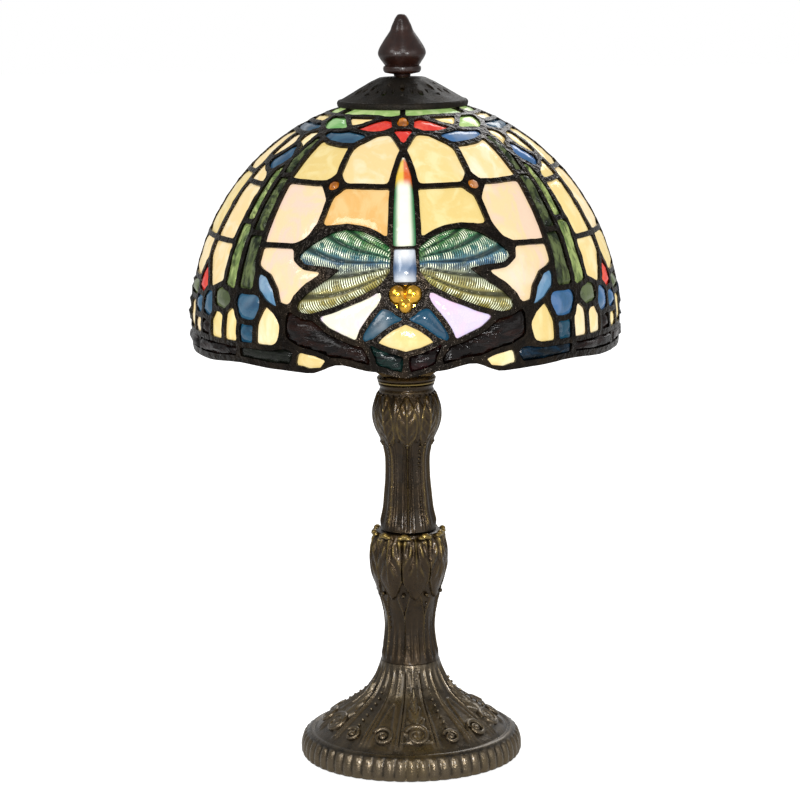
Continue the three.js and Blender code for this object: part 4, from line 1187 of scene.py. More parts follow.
    def lay_out(self) -> None:
        """Lists every pane of the four quarters and of the two centre lines."""
        quarters: dict[str, Callable[[float], float]] = {
            "front_right": lambda a: a,
            "back_right": lambda a: 180 - a,
            "back_left": lambda a: 180 + a,
            "front_left": lambda a: -a,
        }
        wing = Tile(Glass.SILVER, WING_OUTLINE, cell=0.8, corner=1.6)
        for quarter, turn in quarters.items():
            face, side = quarter.split("_")
            for kind, tiles in {**QUARTER_TILES, "wing": [wing]}.items():
                place = {face: FACE_KINDS, side: SIDE_KINDS}
                shared = next((name for name, kinds in place.items() if kind in kinds), quarter)
                for tile in tiles:
                    if quarter in ("front_right", "back_left"):
                        tile = replace(tile, glass=OTHER_SHEET.get(tile.glass, tile.glass))
                    self._add(f"{kind}_{shared}", tile, turn)
        for face, turn in (("front", quarters["front_right"]), ("back", quarters["back_left"])):
            for kind, tiles in CENTRE_TILES.items():
                node = f"{kind}_{face}_right" if kind == "crown_glass" else f"{kind}_{face}"
                for tile in tiles:
                    self._add(node, tile, turn)

    def _add(self, node: str, tile: Tile, turn: Callable[[float], float]) -> None:
        """Adds a pane with its softened outline. The dragonfly's body keeps its size, and gems nearly do."""
        seed = len(self.panes) + 1
        room, least = 1.7, -0.3
        if tile.glass in BODY:
            room, least = 0.2, 0.0
        elif tile.glass is Glass.AMBER:
            room = 0.7
        self.panes.append(Pane(node, tile, turn, self.softened(tile, seed), seed, room, least))


# ---- The cast column and foot ----

Relief = Callable[[float, float, float], tuple[float, float]]


@dataclass
class CastColumn:
    """Foot, two column sections and the ring on top, cast in relief."""

    bore: float = 5.3
    seat: float = 0.3
    outline_step: float = 0.55
    column_steps: int = 256
    foot_steps: int = 360
    column_bays: int = 8
    foot_bays: int = 15
    foot_turn: float = 4
    lower_turn: float = -11
    sharp: float = 80
    # A lighter, greyer copy of the aged bronze for the foot: its lightness is painted light, for the light
    # that the foot catches from above.
    foot_lit_finish: AgedBronze = AgedBronze(
        "foot_bronze_lit",
        shadow=rgb(33, 28, 21),
        ground=rgb(98, 86, 68),
        worn=rgb(146, 132, 96),
        stain=rgb(104, 88, 54),
    )

    def _bored(self, low: float, top: float, radius: float) -> Outline:
        """The bore, down to a rim that closes the seam with the casting below."""
        rim = low - self.seat
        return [(self.bore, top), (self.bore, rim), (radius, rim), (radius, low)]

    def cast(self, outside: Outline, inside: Outline, relief: Relief, steps: int) -> bmesh.types.BMesh:
        """Spins a casting and raises the relief on its skin.

        Args:
            outside: its outer outline.
            inside: the rest of its outline, which stays plain.
            relief: gives a relief in millimetres and its wear for an azimuth, a height and a share of it.
            steps: how many steps go round.

        Returns:
            The casting.
        """
        bm = turned([*outside, *inside], steps, len(outside))
        bm.normal_update()
        wear = bm.verts.layers.float["wear"]
        low, high = outside[0][1], outside[-1][1]
        skin = [v for v in bm.verts if v[wear] > 0.5]
        moves = []
        for v in skin:
            height, worn = relief(azimuth_of(v.co), v.co.z, (v.co.z - low) / (high - low))
            v[wear] = worn
            moves.append((v, v.normal * height))
        for v, move in moves:
            v.co += move
        return bm

    @staticmethod
    def beads(
        outline: Outline, places: Iterable[tuple[float, float]], radius: float, proud: float
    ) -> bmesh.types.BMesh:
        """Beads sunk into a casting.

        Args:
            outline: the casting's outer outline.
            places: the azimuth and height of each bead.
            radius: a bead's radius.
            proud: how far its middle lies outside the outline.

        Returns:
            The beads.
        """
        bm = new_mesh()
        wear = bm.verts.layers.float["wear"]
        for azimuth, height in places:
            reach = CastColumn.reach(outline, height) + proud
            at = Matrix.Translation((*round_axis(reach, azimuth), height))
            ball = bmesh.ops.create_uvsphere(bm, u_segments=8, v_segments=6, radius=radius, matrix=at)
            for v in ball["verts"]:
                v[wear] = 0.6
        return bm

    @staticmethod
    def reach(outline: Outline, height: float) -> float:
        """The outline's radius at a height."""
        for (r0, z0), (r1, z1) in zip(outline, outline[1:]):
            if min(z0, z1) <= height <= max(z0, z1) and z0 != z1:
                return r0 + (r1 - r0) * (height - z0) / (z1 - z0)
        return outline[-1][0]

    def upper(self, finish: bpy.types.Material) -> None:
        """The upper section: a fluted shaft under a bulb of tulip petals."""
        low, high = node_box("upper_column")
        foot, top = low.z, high.z
        turns = [
            (13.5, foot), (12.6, foot + 4), (11.3, foot + 10), (10.6, foot + 17), (9.9, foot + 25),
            (9.8, foot + 34), (10.5, foot + 39), (12.2, foot + 44.5), (14.2, foot + 49.5), (15.3, foot + 54),
            (15.4, foot + 58.5), (14.7, foot + 62.5), (13.3, foot + 67.6), (13.2, foot + 69.2), (13.7, top),
        ]
        outside = curve_through(turns, self.outline_step)
        bulb_low, bulb_high = foot + 41, foot + 66.5
        half_bay = 180 / self.column_bays

        def relief(azimuth: float, z: float, share: float) -> tuple[float, float]:
            """Flutes on the shaft and petals on the bulb."""
            on_bay = folded(azimuth, self.column_bays)
            between = folded(azimuth, self.column_bays, half_bay)
            shaft = 1 - smooth(z, bulb_low - 1, bulb_low + 4)
            broad = abs(math.cos(math.radians(between * 4)))
            fine = ridge(on_bay, 2.2) + 0.7 * ridge(abs(on_bay) - 8, 1.8)
            fine += 0.45 * ridge(abs(on_bay) - 14.5, 1.5)
            flute = (1.0 * fine - 0.35 * broad) * shaft * smooth(share, 0.0, 0.06)
            rise = (z - bulb_low) / (bulb_high - bulb_low)
            petal, seen = self._petal(on_bay / half_bay, rise, 0.92)
            small, seen_small = self._petal(between / half_bay, rise * 1.15 - 0.12, 0.6)
            bulb = smooth(z, bulb_low - 2, bulb_low + 2)
            height = flute + bulb * (max(petal * 1.5, small * 1.0) - 0.45)
            waist = ridge(z - (foot + 67.8), 0.7) * 0.5 + ridge(z - (top - 0.6), 0.5) * 0.4
            worn = 0.25 + 0.6 * max(flute, 0) + bulb * 0.75 * max(seen, seen_small * 0.8) + waist * 0.8
            return height + waist, worn

        bm = self.cast(outside, self._bored(foot, top, 11), relief, self.column_steps)
        rows = [(32 + 90 * i, foot + 31 + 2.1 * k) for i in range(4) for k in range(6)]
        rows += [(35 + 90 * i, foot + 4.5 + 2.4 * k) for i in range(4) for k in range(6)]
        trim = [
            self.beads(outside, rows, 0.62, 0.15),
            self.beads(outside, [(15 * i, foot + 66.2) for i in range(24)], 0.6, 0.1),
            self.beads(outside, [(45 * i, bulb_low + 1.6) for i in range(8)], 1.05, 0.6),
        ]
        whole = joined([bm, *trim])
        make_piece("cast_upper_column", whole, "base", "bronze", finish, ["upper_column"], self.sharp)

    @staticmethod
    def _petal(u: float, v: float, width: float) -> tuple[float, float]:
        """The height and wear of a petal at a share u across (-1 to 1) and v up (0 to 1)."""
        if not 0 < v < 1:
            return 0.0, 0.0
        half = width * math.sin(math.pi * v**0.75) ** 0.7
        if half <= 0 or abs(u) > half:
            return 0.0, 0.0
        across = abs(u) / half
        body = math.sqrt(1 - across**2) * 0.75
        vein = ridge(u, 0.07) * 0.45 * math.sin(math.pi * v)
        side = 0.16 * math.cos(math.tau * (v * 5 - across * 1.2)) * math.sin(math.pi * across)
        lip = 0.3 * ridge(across - 0.9, 0.1)
        return body + vein + side + lip, 0.3 + vein * 1.2 + max(side, 0) * 2 + lip * 1.4

    def lower(self, finish: bpy.types.Material) -> None:
        """The lower section: veined leaves over a reeded neck, and a collar of curled petals."""
        low, high = node_box("lower_column")
        foot, top = low.z, high.z
        turns = [
            (14.1, foot), (12.6, foot + 6), (11.6, foot + 14), (11.6, foot + 19), (12.3, foot + 24.5),
            (13.4, foot + 30), (15.3, foot + 36), (17.2, foot + 42.5), (18.0, foot + 48.5), (17.8, foot + 54),
            (16.4, foot + 60), (15.6, foot + 62.2), (16, top - 0.6), (14.4, top),
        ]
        outside = curve_through(turns, self.outline_step)
        leaf_low, leaf_high = foot + 32.5, foot + 64
        half_bay = 180 / self.column_bays

        def relief(azimuth: float, z: float, _share: float) -> tuple[float, float]:
            """Leaves on the bulb, and ridges that meet in a Y on the neck."""
            on_bay = folded(azimuth, self.column_bays)
            between = folded(azimuth, self.column_bays, half_bay)
            leaf, seen = self._leaf(between / half_bay, (z - leaf_low) / (leaf_high - leaf_low))
            neck = 1 - smooth(z, leaf_low - 1, leaf_low + 3)
            spread = half_bay * smooth(z, foot + 21, leaf_low + 4)
            arms = ridge(abs(on_bay) - spread * 0.55, 1.5) * smooth(z, foot - 2, foot + 8)
            reeds = ridge(abs(between) - 7, 2.6) * 0.55 * (1 - smooth(z, foot + 10, foot + 26))
            collar = 0.5 * ridge(z - (top - 4.4), 1.2) * abs(math.cos(math.radians(azimuth * 5)))
            height = leaf * 1.7 - 0.5 * (1 - neck) + neck * (0.95 * arms + 1.3 * reeds) + collar
            height *= smooth(z, foot, foot + 4)
            return height, 0.25 + seen * 0.8 + neck * (0.55 * arms + 0.3 * reeds) + collar * 0.6

        bm = self.cast(outside, self._bored(foot, top, 12), relief, self.column_steps)
        rows = [(48 + 90 * i, foot + 17 + 2.6 * k) for i in range(4) for k in range(6)]
        trim = [
            self.beads(outside, rows, 0.62, 0.15),
            self.beads(outside, [(45 * i, foot + 34.2) for i in range(8)], 1.15, 0.5),
            self._curled_petals(top),
        ]
        whole = joined([bm, *trim])
        turn = Matrix.Rotation(math.radians(self.lower_turn), 4, "Z")
        bmesh.ops.transform(whole, matrix=turn, verts=whole.verts[:])
        make_piece("cast_lower_column", whole, "base", "bronze", finish, ["lower_column"], self.sharp)

    @staticmethod
    def _leaf(u: float, v: float) -> tuple[float, float]:
        """The height and wear of a broad veined leaf at u across (-1 to 1) and v up (0 to 1)."""
        if not 0 < v < 1:
            return 0.0, 0.0
        half = min(1.0, (v * 3.4) ** 0.55)
        across = min(abs(u) / half, 1.2)
        if across > 1:
            return 0.0, 0.0
        body = 0.7 * (1 - across**2.2) ** 0.5
        wave = math.cos(math.tau * (3.2 * v + 1.5 * abs(u)))
        veins = 0.28 * wave * math.sin(math.pi * across) * smooth(v, 0.25, 0.5)
        folds = 0.2 * math.cos(math.tau * u * 2.5) * smooth(v, 0.45, 0.8)
        rib = 0.35 * ridge(u, 0.06) * smooth(v, 0.15, 0.4)
        lip = 0.4 * ridge(across - 0.93, 0.06) * (1 - smooth(v, 0.5, 0.8))
        fade = 1 - smooth(v, 0.93, 1.0)
        worn = 0.2 + max(veins + folds, 0) * 1.6 + rib + lip
        return (body + veins + folds + rib + lip) * fade, worn * fade

    @staticmethod
    def _curled_petals(top: float) -> bmesh.types.BMesh:
        """Ten petals with curled tips round the collar, three lobes to each, rubbed to gold."""
        bm = new_mesh()
        wear = bm.verts.layers.float["wear"]
        for i in range(10):
            for side, size in ((-6.5, 0.8), (0, 1.0), (6.5, 0.8)):
                turn = Matrix.Rotation(math.radians(36 * i + 4 + side), 4, "Z")
                at = Matrix.Translation((0, -(16.1 + 0.7 * size), top - 1.1 - 0.7 * (size < 1)))
                form = turn @ at @ Matrix.Diagonal((2.3 * size, 1.5, 1.5 * size, 1))
                tip = bmesh.ops.create_uvsphere(bm, u_segments=12, v_segments=8, radius=1, matrix=form)
                for v in tip["verts"]:
                    v[wear] = 1.6 if v.co.z > top - 1.9 else 0.5
        return bm

    def foot(self, finish: bpy.types.Material) -> None:
        """The foot: flutes, leaves, scrolls and beads on the flare, and a gadrooned rim."""
        high = node_box("foot")[1]
        top, radius = high.z, high.x
        flare = [
            (radius - 0.6, 1.0), (radius - 0.2, 4.2), (radius - 0.7, 7.8), (radius - 2.0, 10.8),
            (radius - 3.9, 12.6), (radius - 5.2, 12.9), (radius - 6.2, 12.3), (radius - 7.4, 13.3),
            (42.9, 16.2), (38.7, 19.3), (34.5, 22.2), (29.4, 25.7), (25.2, 28.7), (21.6, 32), (19.5, 35),
            (17.4, 38.5), (15.6, 42.6), (14.3, top),
        ]
        outside = curve_through(flare, self.outline_step)
        inside = [
            (self.bore, top), (self.bore, 34), (14, 34), (22, 27.5), (32, 19.6), (41, 13.4), (44.2, 9.3),
            (44.2, 2.9), (48.2, 2.9), (48.2, 0.9), (radius - 1.6, 0.8),
        ]
        ring_height = 13.2
        bay = 360 / self.foot_bays

        def relief(azimuth: float, z: float, share: float) -> tuple[float, float]:
            """Gadroons on the rim, and flutes, leaves and arches on the flare."""
            if z < ring_height - 0.9 and share < 0.32:
                lobe = abs(math.cos(math.radians(azimuth * 30))) ** 0.7
                fade = smooth(z, 0.4, 2.5) * (1 - smooth(z, 10.4, 11.8))
                lines = 0.12 * math.cos(math.radians(azimuth * 60))
                worn = 0.12 + 0.42 * lobe * fade + 0.3 * ridge(z - 1.5, 1.2)
                return (1.15 * lobe - 0.7 + lines) * fade, worn
            rise = smooth(z, ring_height, ring_height + 2.5)
            along = (z - ring_height) / (top - ring_height)
            offset = folded(azimuth, self.foot_bays, self.foot_turn)
            edge = abs(abs(offset) - bay / 2)
            border = ridge(edge - 1.4, 0.75) * (1 - 0.5 * along)
            motif = round((azimuth - self.foot_turn - offset) / bay) % 3
            inner = 0.0
            if motif == 0:
                inner = self._acanthus(offset / 10.5, along)
            elif motif == 2 and along < 0.52:
                arch = 7.5 * math.sqrt(max(0, min(1, 1.25 - along * 2.4)))
                inner = 0.5 * ridge(abs(offset) - arch, 1.3)
            reed = 0.6 * ridge(offset, 2.4) * smooth(along, 0.5, 0.8)
            joint = 1 - smooth(z, top - 5, top)
            height = (rise * (1.25 * border + 1.35 * inner + reed) - 0.45 * rise) * joint
            return height, 0.2 + rise * (0.42 * border + 0.5 * max(inner, 0) + 0.25 * reed)

        trim = []
        for i in range(self.foot_bays):
            azimuth = self.foot_turn + bay * i
            trim.append(self._scroll(outside, azimuth, (6.2, 4.2, 5.2)[i % 3]))
            if i % 3 == 1:
                heights = [19.5 + 1.7 * k + 0.05 * k * k for k in range(9)]
                trim.append(self.beads(outside, [(azimuth, z) for z in heights], 0.78, 0.1))
        whole = joined([self.cast(outside, inside, relief, self.foot_steps), *trim])
        make_piece("cast_foot", whole, "base", "bronze", finish, ["foot"], self.sharp)

    @staticmethod
    def _acanthus(u: float, along: float) -> float:
        """The height of an acanthus leaf over the large scrolls."""
        v = (along - 0.1) / 0.6
        if not 0 < v < 1 or abs(u) > 1:
            return 0.0
        half = (1 - v**1.5) ** 0.7 * (0.86 + 0.14 * math.cos(math.tau * v * 5))
        if abs(u) > half:
            return 0.0
        across = abs(u) / max(half, 0.05)
        ribs = 0.4 * math.cos(math.tau * (v * 5 - across * 0.9)) * across
        return 0.75 * math.sqrt(max(0, 1 - across**3)) + ribs + 0.35 * ridge(u, 0.12)

    @staticmethod
    def _scroll(outside: Outline, azimuth: float, size: float) -> bmesh.types.BMesh:
        """A volute lying on the flare: an open ring that winds in to a boss.

        Args:
            outside: the foot's outer outline.
            azimuth: where it lies.
            size: its radius.

        Returns:
            The volute.
        """
        bm = new_mesh()
        wear = bm.verts.layers.float["wear"]
        outer_edge, rings_count = 45.2, 30
        tilt = math.radians(54)
        reach = outer_edge - size
        height = next(z for r, z in outside if z > 13.5 and r <= reach)
        frame_of = (
            Matrix.Rotation(math.radians(azimuth), 4, "Z")
            @ Matrix.Translation((0, -reach, height))
            @ Matrix.Rotation(math.pi / 2 - tilt, 4, "X")
        )
        rings: list[list[bmesh.types.BMVert]] = []
        for i in range(rings_count + 1):
            share = i / rings_count
            turn = math.radians(-200 - 520 * share)
            distance = size * (1 - 0.72 * share)
            wire = 1.3 * (1 - 0.4 * share) * (size / 5)
            place = Matrix.Translation((distance * math.cos(turn), distance * math.sin(turn), -0.15))
            section = frame_of @ place @ Matrix.Rotation(turn, 4, "Z") @ Matrix.Rotation(math.pi / 2, 4, "X")
            made = bmesh.ops.create_circle(bm, segments=8, radius=wire, matrix=section)
            rings.append(made["verts"])
        for first, second in zip(rings, rings[1:]):
            edges = {e for v in (*first, *second) for e in v.link_edges if e.is_wire or e.is_boundary}
            keep = [e for e in edges if all(v in first for v in e.verts) or all(v in second for v in e.verts)]
            bmesh.ops.bridge_loops(bm, edges=keep)
        for end in (rings[0], rings[-1]):
            open_edges = {e for v in end for e in v.link_edges if e.is_boundary}
            bmesh.ops.contextual_create(bm, geom=list(open_edges))
        boss = frame_of @ Matrix.Diagonal((size * 0.34, size * 0.34, 1.0, 1))
        bmesh.ops.create_uvsphere(bm, u_segments=12, v_segments=8, radius=1, matrix=boss)
        for v in bm.verts:
            v[wear] = 0.42
        bmesh.ops.recalc_face_normals(bm, faces=bm.faces[:])
        return bm

    def ring(self, finish: bpy.types.Material) -> None:
        """The ring that caps the column: a rounded lip over a bright line."""
        low, high = node_box("column_top_ring")
        z, radius, top = low.z, high.x, high.z
        outside = [
            (radius - 1.1, z), (radius - 0.5, z + 0.25), (radius - 0.35, z + 0.8), (radius - 0.8, z + 1.15),
            (radius - 0.1, z + 1.7), (radius, z + 2.4), (radius - 0.5, z + 3.1), (radius - 1.4, top),
        ]
        bm = turned([*outside, *self._bored(z, top, radius - 3)], 96)
        wear = bm.verts.layers.float["wear"]
        for v in bm.verts:
            v[wear] = 1.3 if z + 0.1 < v.co.z < z + 1 else 0.45
        make_piece("cast_top_ring", bm, "base", "aged_brass", finish, ["column_top_ring"])

    def build(self) -> None:
        """Builds the castings."""
        finish = AgedBronze().make()
        self.foot(self.foot_lit_finish.make())
        self.lower(finish)
        self.upper(finish)
        self.ring(finish)


# ---- The cap and the finial ----


@dataclass
class Cap:
    """The spun cap over the crown, pierced with a filigree of drops and dots."""

    wall: float = 1.3
    bore: float = 3.3
    sectors: int = 8
    cell: float = 1.3
    hole_points: int = 12

    def __post_init__(self) -> None:
        """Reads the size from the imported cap."""
        low, high = node_box("shade_cap")
        self.radius, self.top, self.rim = high.x, high.z, low.z
        drop = self.top - self.rim
        self.slope = [
            (0, self.top), (10.9, self.top), (12.4, self.top - 0.05 * drop), (15.5, self.top - 0.17 * drop),
            (19.5, self.top - 0.34 * drop), (24, self.top - 0.54 * drop), (28.4, self.top - 0.72 * drop),
            (self.radius, self.top - 0.83 * drop),
        ]

    def height(self, radius: float) -> float:
        """The height of the cap's outer face at a radius."""
        for (r0, z0), (r1, z1) in zip(self.slope, self.slope[1:]):
            if radius <= r1:
                return z0 + (z1 - z0) * (radius - r0) / (r1 - r0)
        return self.slope[-1][1]

    def holes(self) -> list[Outline]:
        """The outlines of the piercings, on the flat."""
        shapes: list[Outline] = []
        # Each row: share of a sector to one side, distance from the axis, half a hole's length and width.
        pattern = (
            (0.0, 18.6, 2.5, 1.25), (0.0, 23.6, 1.0, 1.3), (0.5, 16.2, 1.0, 1.0), (0.5, 22.4, 1.9, 1.35),
            (0.27, 20.7, 1.5, 0.75), (-0.27, 20.7, 1.5, 0.75),
        )
        for i in range(self.sectors):
            middle = math.tau * i / self.sectors
            for offset, reach, along, across in pattern:
                turn = middle + offset * math.tau / self.sectors
                sine, cosine = math.sin(turn), math.cos(turn)
                drop = []
                for k in range(self.hole_points):
                    t = math.tau * k / self.hole_points
                    u = across * math.cos(t) * (1 - 0.35 * math.sin(t))
                    v = reach + along * math.sin(t)
                    drop.append((u * cosine + v * sine, u * sine - v * cosine))
                shapes.append(drop)
        return shapes

    def build(self) -> None:
        """Builds the pierced sheet and its rolled rim."""
        edge = self.radius - 1.1
        loops: list[Outline] = []
        for r, count in ((edge, 96), (self.bore, 24)):
            turns = [math.tau * i / count for i in range(count)]
            loops.append([(r * math.sin(t), -r * math.cos(t)) for t in turns])
        bm = outlined([*loops, *self.holes()])
        cut_grid(bm, self.cell)
        thicken(bm, -self.wall)
        for v in bm.verts:
            reach = math.hypot(v.co.x, v.co.y)
            chased = 0.16 * math.cos(math.atan2(v.co.x, -v.co.y) * self.sectors * 2) * smooth(reach, 12, 15)
            v.co.z += self.height(reach) + chased * (1 - smooth(reach, 25, 27))
        bmesh.ops.recalc_face_normals(bm, faces=bm.faces[:])
        lip = self.height(edge)
        roll = [
            (edge - 0.6, lip + 0.25), (edge + 0.4, lip + 0.2), (self.radius - 0.2, lip - 0.4),
            (self.radius, lip - 1.1), (self.radius - 0.3, self.rim + 0.4), (self.radius - 1.1, self.rim),
            (self.radius - 1.8, self.rim + 0.4), (self.radius - 1.9, lip - 1.3),
            (edge - 1.0, lip - self.wall),
        ]
        collar = [
            (self.bore, self.top + 0.1), (10.2, self.top + 0.1), (10.9, self.top), (11.5, self.top - 0.35),
            (11.5, self.top - 0.9), (10.6, self.top - 1.2), (self.bore, self.top - 1.2),
        ]
        whole = joined([bm, turned(roll, 96), turned(collar, 72)])
        finish = Metal("cap_metal", rgb(25, 21, 15), rgb(38, 31, 22), 0.7, 0.52, 0.35).make()
        make_piece("pierced_cap", whole, "shade", "cap_metal", finish, ["shade_cap"], 35)


@dataclass
class Finial:
    """The lobed finial on its ringed collar."""

    lobes: int = 4
    valley: float = 0.085
    bore: float = 3.3
    bore_depth: float = 12

    def build(self) -> None:
        """Spins the finial and presses the valleys between its lobes."""
        low, high = node_box("finial")
        base, top = low.z, high.z
        turns = [
            (0, top), (1.7, top - 0.25), (3.0, top - 1.9), (4.0, top - 3.7), (4.9, top - 5.6),
            (5.6, top - 7.5), (6.8, top - 9.3), (8.2, top - 11.2), (9.4, top - 13), (10.6, top - 14.9),
            (11.5, top - 16.8), (11.7, top - 18.6), (10.8, top - 20.5), (9.4, top - 22.2), (8.3, top - 23.5),
        ]
        body = curve_through(turns, 0.5)
        collar = [
            (8.0, top - 24), (8.7, top - 24.3), (8.95, top - 25.2), (8.8, top - 26.4), (8.2, top - 27.2),
            (6.2, top - 27.6),
        ]
        neck = [
            (4.0, top - 28), (3.8, base + 0.2), (self.bore, base), (self.bore, base + self.bore_depth),
            (0, base + self.bore_depth),
        ]
        bm = turned([*body, *collar, *neck], 128)
        for v in bm.verts:
            in_bore = math.hypot(v.co.x, v.co.y) <= self.bore + 0.02
            if v.co.z > top - 23.6 and not in_bore:
                fade = smooth(v.co.z, top - 23.6, top - 20) * (1 - smooth(v.co.z, top - 4, top))
                press = self.valley * ridge(folded(azimuth_of(v.co), self.lobes, -4), 13) * fade
                v.co.x *= 1 - press
                v.co.y *= 1 - press
        finish = Metal("finial_enamel", rgb(30, 12, 7), rgb(44, 20, 11), 0.0, 0.34, 0.1, 0.1).make()
        make_piece("lobed_finial", bm, "finial", "finial_metal", finish, ["finial"], 50)


# ---- Inside the shade ----


@dataclass
class Fittings:
    """The harp, socket and bulb under the shade, and what is under the foot."""

    steps: int = 96
    bulb_wall: float = 1.0

    def spun(self, name: str, body: str, slot: str, finish: bpy.types.Material, outline: Outline) -> None:
        """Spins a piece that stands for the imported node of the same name."""
        make_piece(f"{name}_fine", turned(outline, self.steps), body, slot, finish, [name])

    def socket(self) -> None:
        """The socket's shell, with a groove and a rolled edge."""
        brass = Metal("socket_brass", rgb(186, 150, 84), rgb(150, 114, 58), 1.0, 0.3, 0.1).make()
        low, high = node_box("socket_shell")
        r, z, top = high.x, low.z, high.z
        shell = [
            (r, z), (r, z + 2), (r, z + 2.6), (r - 0.45, z + 3.2), (r, z + 3.8), (r, z + 9),
            (r - 0.4, z + 9.6), (r, z + 10.2), (r, top - 2.2), (r + 0.1, top - 1.4), (r - 0.1, top - 0.4),
            (r - 0.8, top), (r - 1, top - 0.6), (r - 0.9, z),
        ]
        self.spun("socket_shell", "base", "brass", brass, shell)

    def bulb(self) -> None:
        """The globe, blown round, with its waist and its neck."""
        low, high = node_box("bulb_glass")
        radius, top, foot = high.x, high.z, low.z
        centre = top - radius
        turns = [math.radians(90 - i * 5.4) for i in range(1, 27)]
        globe: Outline = [(radius * math.cos(t), centre + radius * math.sin(t)) for t in turns]
        neck, shoulder = min(r for r, _ in globe[9:]), globe[-1][1]
        outside = [(0, top), *globe]
        outside += [(neck - 0.8, shoulder - 1.6), (neck - 1.1, foot + 4)]
        outside += [(neck - 1.2, foot), (neck - 2.2, foot)]
        inner = [(neck - 2.1, foot + 4), (neck - 2.0, shoulder - 1)]
        flattened = 0.96  # the inside's height as a share of the outside's
        inner += [(max(0.0, r - self.bulb_wall), centre + (z - centre) * flattened) for r, z in globe[::-1]]
        inner.append((0, centre + radius * flattened))
        glass = BulbGlass("frosted_bulb", 1.3, rgb(255, 240, 205)).make()
        self.spun("bulb_glass", "bulb", "frosted_glass", glass, [*outside, *inner])

    def harp(self) -> None:
        """Finishes the harp's loop, stud, saddle and sleeves."""
        dull = Metal("harp_bronze", rgb(92, 74, 46), rgb(62, 49, 30), 0.9, 0.36, 0.12).make()
        for name in ("harp_loop", "harp_stud", "harp_saddle", "harp_sleeve_left", "harp_sleeve_right"):
            dress(name, dull)

    def build(self) -> None:
        """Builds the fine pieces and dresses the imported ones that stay."""
        self.socket()
        self.bulb()
        self.harp()
        steel = Metal("washer_steel", rgb(150, 150, 148), rgb(112, 110, 106), 1.0, 0.4, 0.1).make()
        brass = Metal("turned_brass", rgb(184, 148, 82), rgb(146, 112, 58), 1.0, 0.32, 0.1).make()
        pale, dull = rgb(200, 200, 198), rgb(160, 160, 158)
        aluminium = Metal("bulb_cap_aluminium", pale, dull, 1.0, 0.34, 0.15).make()
        resin = Metal("black_resin", rgb(20, 19, 18), rgb(34, 32, 30), 0.0, 0.42, 0.2).make()
        rubber = Metal("grommet_rubber", rgb(24, 23, 22), rgb(38, 36, 34), 0.0, 0.75, 0.2).make()
        clear = BulbGlass("stem_glass_clear", 0.6, rgb(255, 246, 224), 0.6).make()
        for names, finish in (
            (("base_washer",), steel),
            (("base_nut", "threaded_pipe", "locknut", "screw_shell", "centre_contact", "socket_cap"), brass),
            (("bulb_cap",), aluminium),
            (("socket_interior", "switch_knob"), resin),
            (("cord_grommet",), rubber),
            (("felt_pad",), Felt().make()),
            (("bulb_stem",), clear),
        ):
            for name in names:
                dress(name, finish)


def dress(name: str, finish: bpy.types.Material) -> None:
    """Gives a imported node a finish."""
    node = frame["nodes"][name]
    node.data.materials.clear()
    node.data.materials.append(finish)


# ---- The studio ----


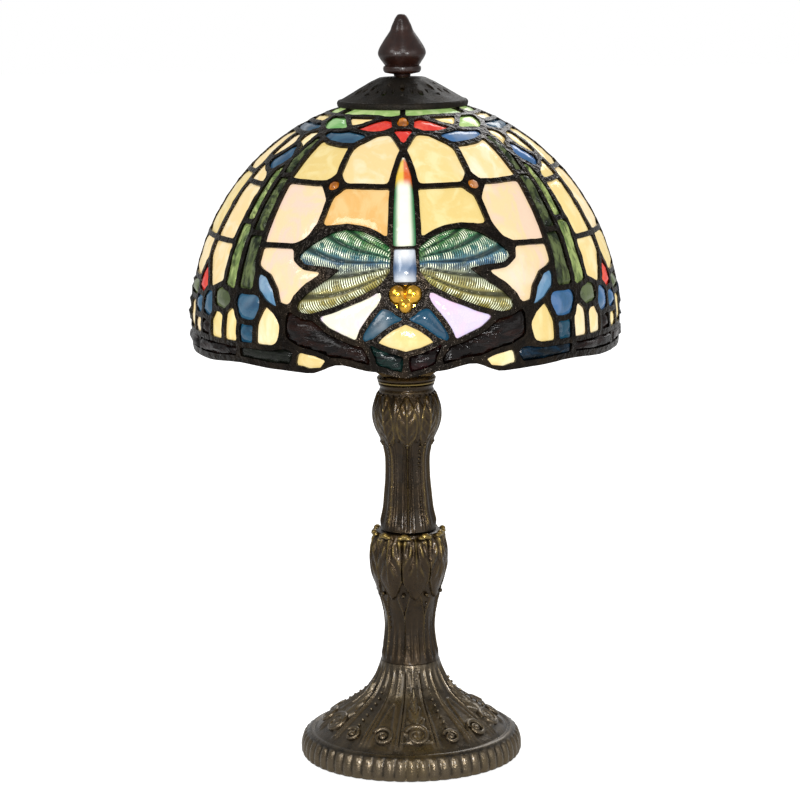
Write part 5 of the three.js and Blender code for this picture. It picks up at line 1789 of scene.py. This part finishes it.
@dataclass
class Studio:
    """Camera, pale floor, soft lamps and a white surround."""

    distance: float = 1.300
    height: float = 0.404
    pitch: float = 10
    lens: float = 123.75
    sensor: float = 36
    lean: float = 0.8
    aim: tuple[float, float, float] = (0, 0, 0.18)
    surround: float = 0.38
    paper_glow: float = 0.78
    paper_grey: Colour = (0.8, 0.8, 0.8, 1)

    def camera(self) -> None:
        """Places the camera."""
        data = bpy.data.cameras.new("camera")
        data.lens, data.sensor_width = self.lens, self.sensor
        camera = bpy.data.objects.new("camera", data)
        camera.location = (0, -self.distance, self.height)
        camera.rotation_euler = (math.radians(90 - self.pitch), math.radians(self.lean), 0)
        bpy.context.scene.collection.objects.link(camera)
        bpy.context.scene.camera = camera

    def lamp(self, name: str, power: float, size: float, place: tuple[float, float, float]) -> None:
        """Hangs a soft square lamp that faces the middle of the object."""
        data = bpy.data.lights.new(name, "AREA")
        data.energy, data.size = power, size
        light = bpy.data.objects.new(name, data)
        light.location = place
        direction = Vector(self.aim) - Vector(place)
        light.rotation_euler = direction.to_track_quat("-Z", "Y").to_euler()
        bpy.context.scene.collection.objects.link(light)

    def floor(self) -> None:
        """Lays the floor, white to the camera and pale with a shadow."""
        bm = bmesh.new()
        bmesh.ops.create_grid(bm, x_segments=1, y_segments=1, size=6)
        mesh = bpy.data.meshes.new("floor")
        bm.to_mesh(mesh)
        bm.free()
        floor = bpy.data.objects.new("floor", mesh)
        bpy.context.scene.collection.objects.link(floor)
        mesh.materials.append(self.paper())

    def paper(self) -> bpy.types.Material:
        """White paper that still takes a shadow."""
        material = bpy.data.materials.new("floor_paper")
        nodes = Nodes(material)
        seen = nodes.value("ShaderNodeBsdfPrincipled", None, {
            "Base Color": self.paper_grey,
            "Roughness": 0.9,
            "Emission Color": WHITE,
            "Emission Strength": self.paper_glow,
        })
        lit = nodes.value("ShaderNodeBsdfDiffuse", None, {"Color": self.paper_grey})
        to_camera = nodes.value("ShaderNodeLightPath", output="Is Camera Ray")
        surface = nodes.value("ShaderNodeMixShader", None, {0: to_camera, 1: lit, 2: seen})
        nodes.node("ShaderNodeOutputMaterial", None, {"Surface": surface})
        return material

    def world(self) -> None:
        """A plain surround: white to the camera and through glass, soft grey as light and in reflections."""
        world = bpy.data.worlds.new("surround")
        bpy.context.scene.world = world
        nodes = Nodes(world)
        seen, lit = (
            nodes.value("ShaderNodeBackground", None, {"Color": WHITE, "Strength": strength})
            for strength in (1.0, self.surround)
        )
        path = nodes.node("ShaderNodeLightPath")
        to_camera, through_glass = (
            Value(nodes, path.outputs[output]) for output in ("Is Camera Ray", "Is Transmission Ray")
        )
        either = nodes.maths("MAXIMUM", to_camera, through_glass)
        surface = nodes.value("ShaderNodeMixShader", None, {0: either, 1: lit, 2: seen})
        nodes.node("ShaderNodeOutputWorld", None, {"Surface": surface})

    def build(self) -> None:
        """Sets up the studio."""
        self.camera()
        self.lamp("front_lamp", power=15, size=0.25, place=(0.1, -1.7, 0.6))
        self.lamp("key_lamp", power=11, size=0.8, place=(-0.9, -1.3, 1.2))
        self.lamp("fill_lamp", power=4, size=1.1, place=(1.2, -1.0, 0.7))
        self.lamp("rim_lamp", power=6, size=0.8, place=(0.4, 1.2, 1.1))
        self.floor()
        self.world()
        bpy.context.scene.view_settings.view_transform = "Standard"


def main() -> None:
    """Builds the lamp from the foot up."""
    logging.basicConfig(level=logging.INFO, format="%(message)s")
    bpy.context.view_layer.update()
    Studio().build()
    CastColumn().build()
    Fittings().build()
    GlassShade(Dome()).build()
    Cap().build()
    Finial().build()
    log.info("size written")


if __name__ == "__main__":
    main()
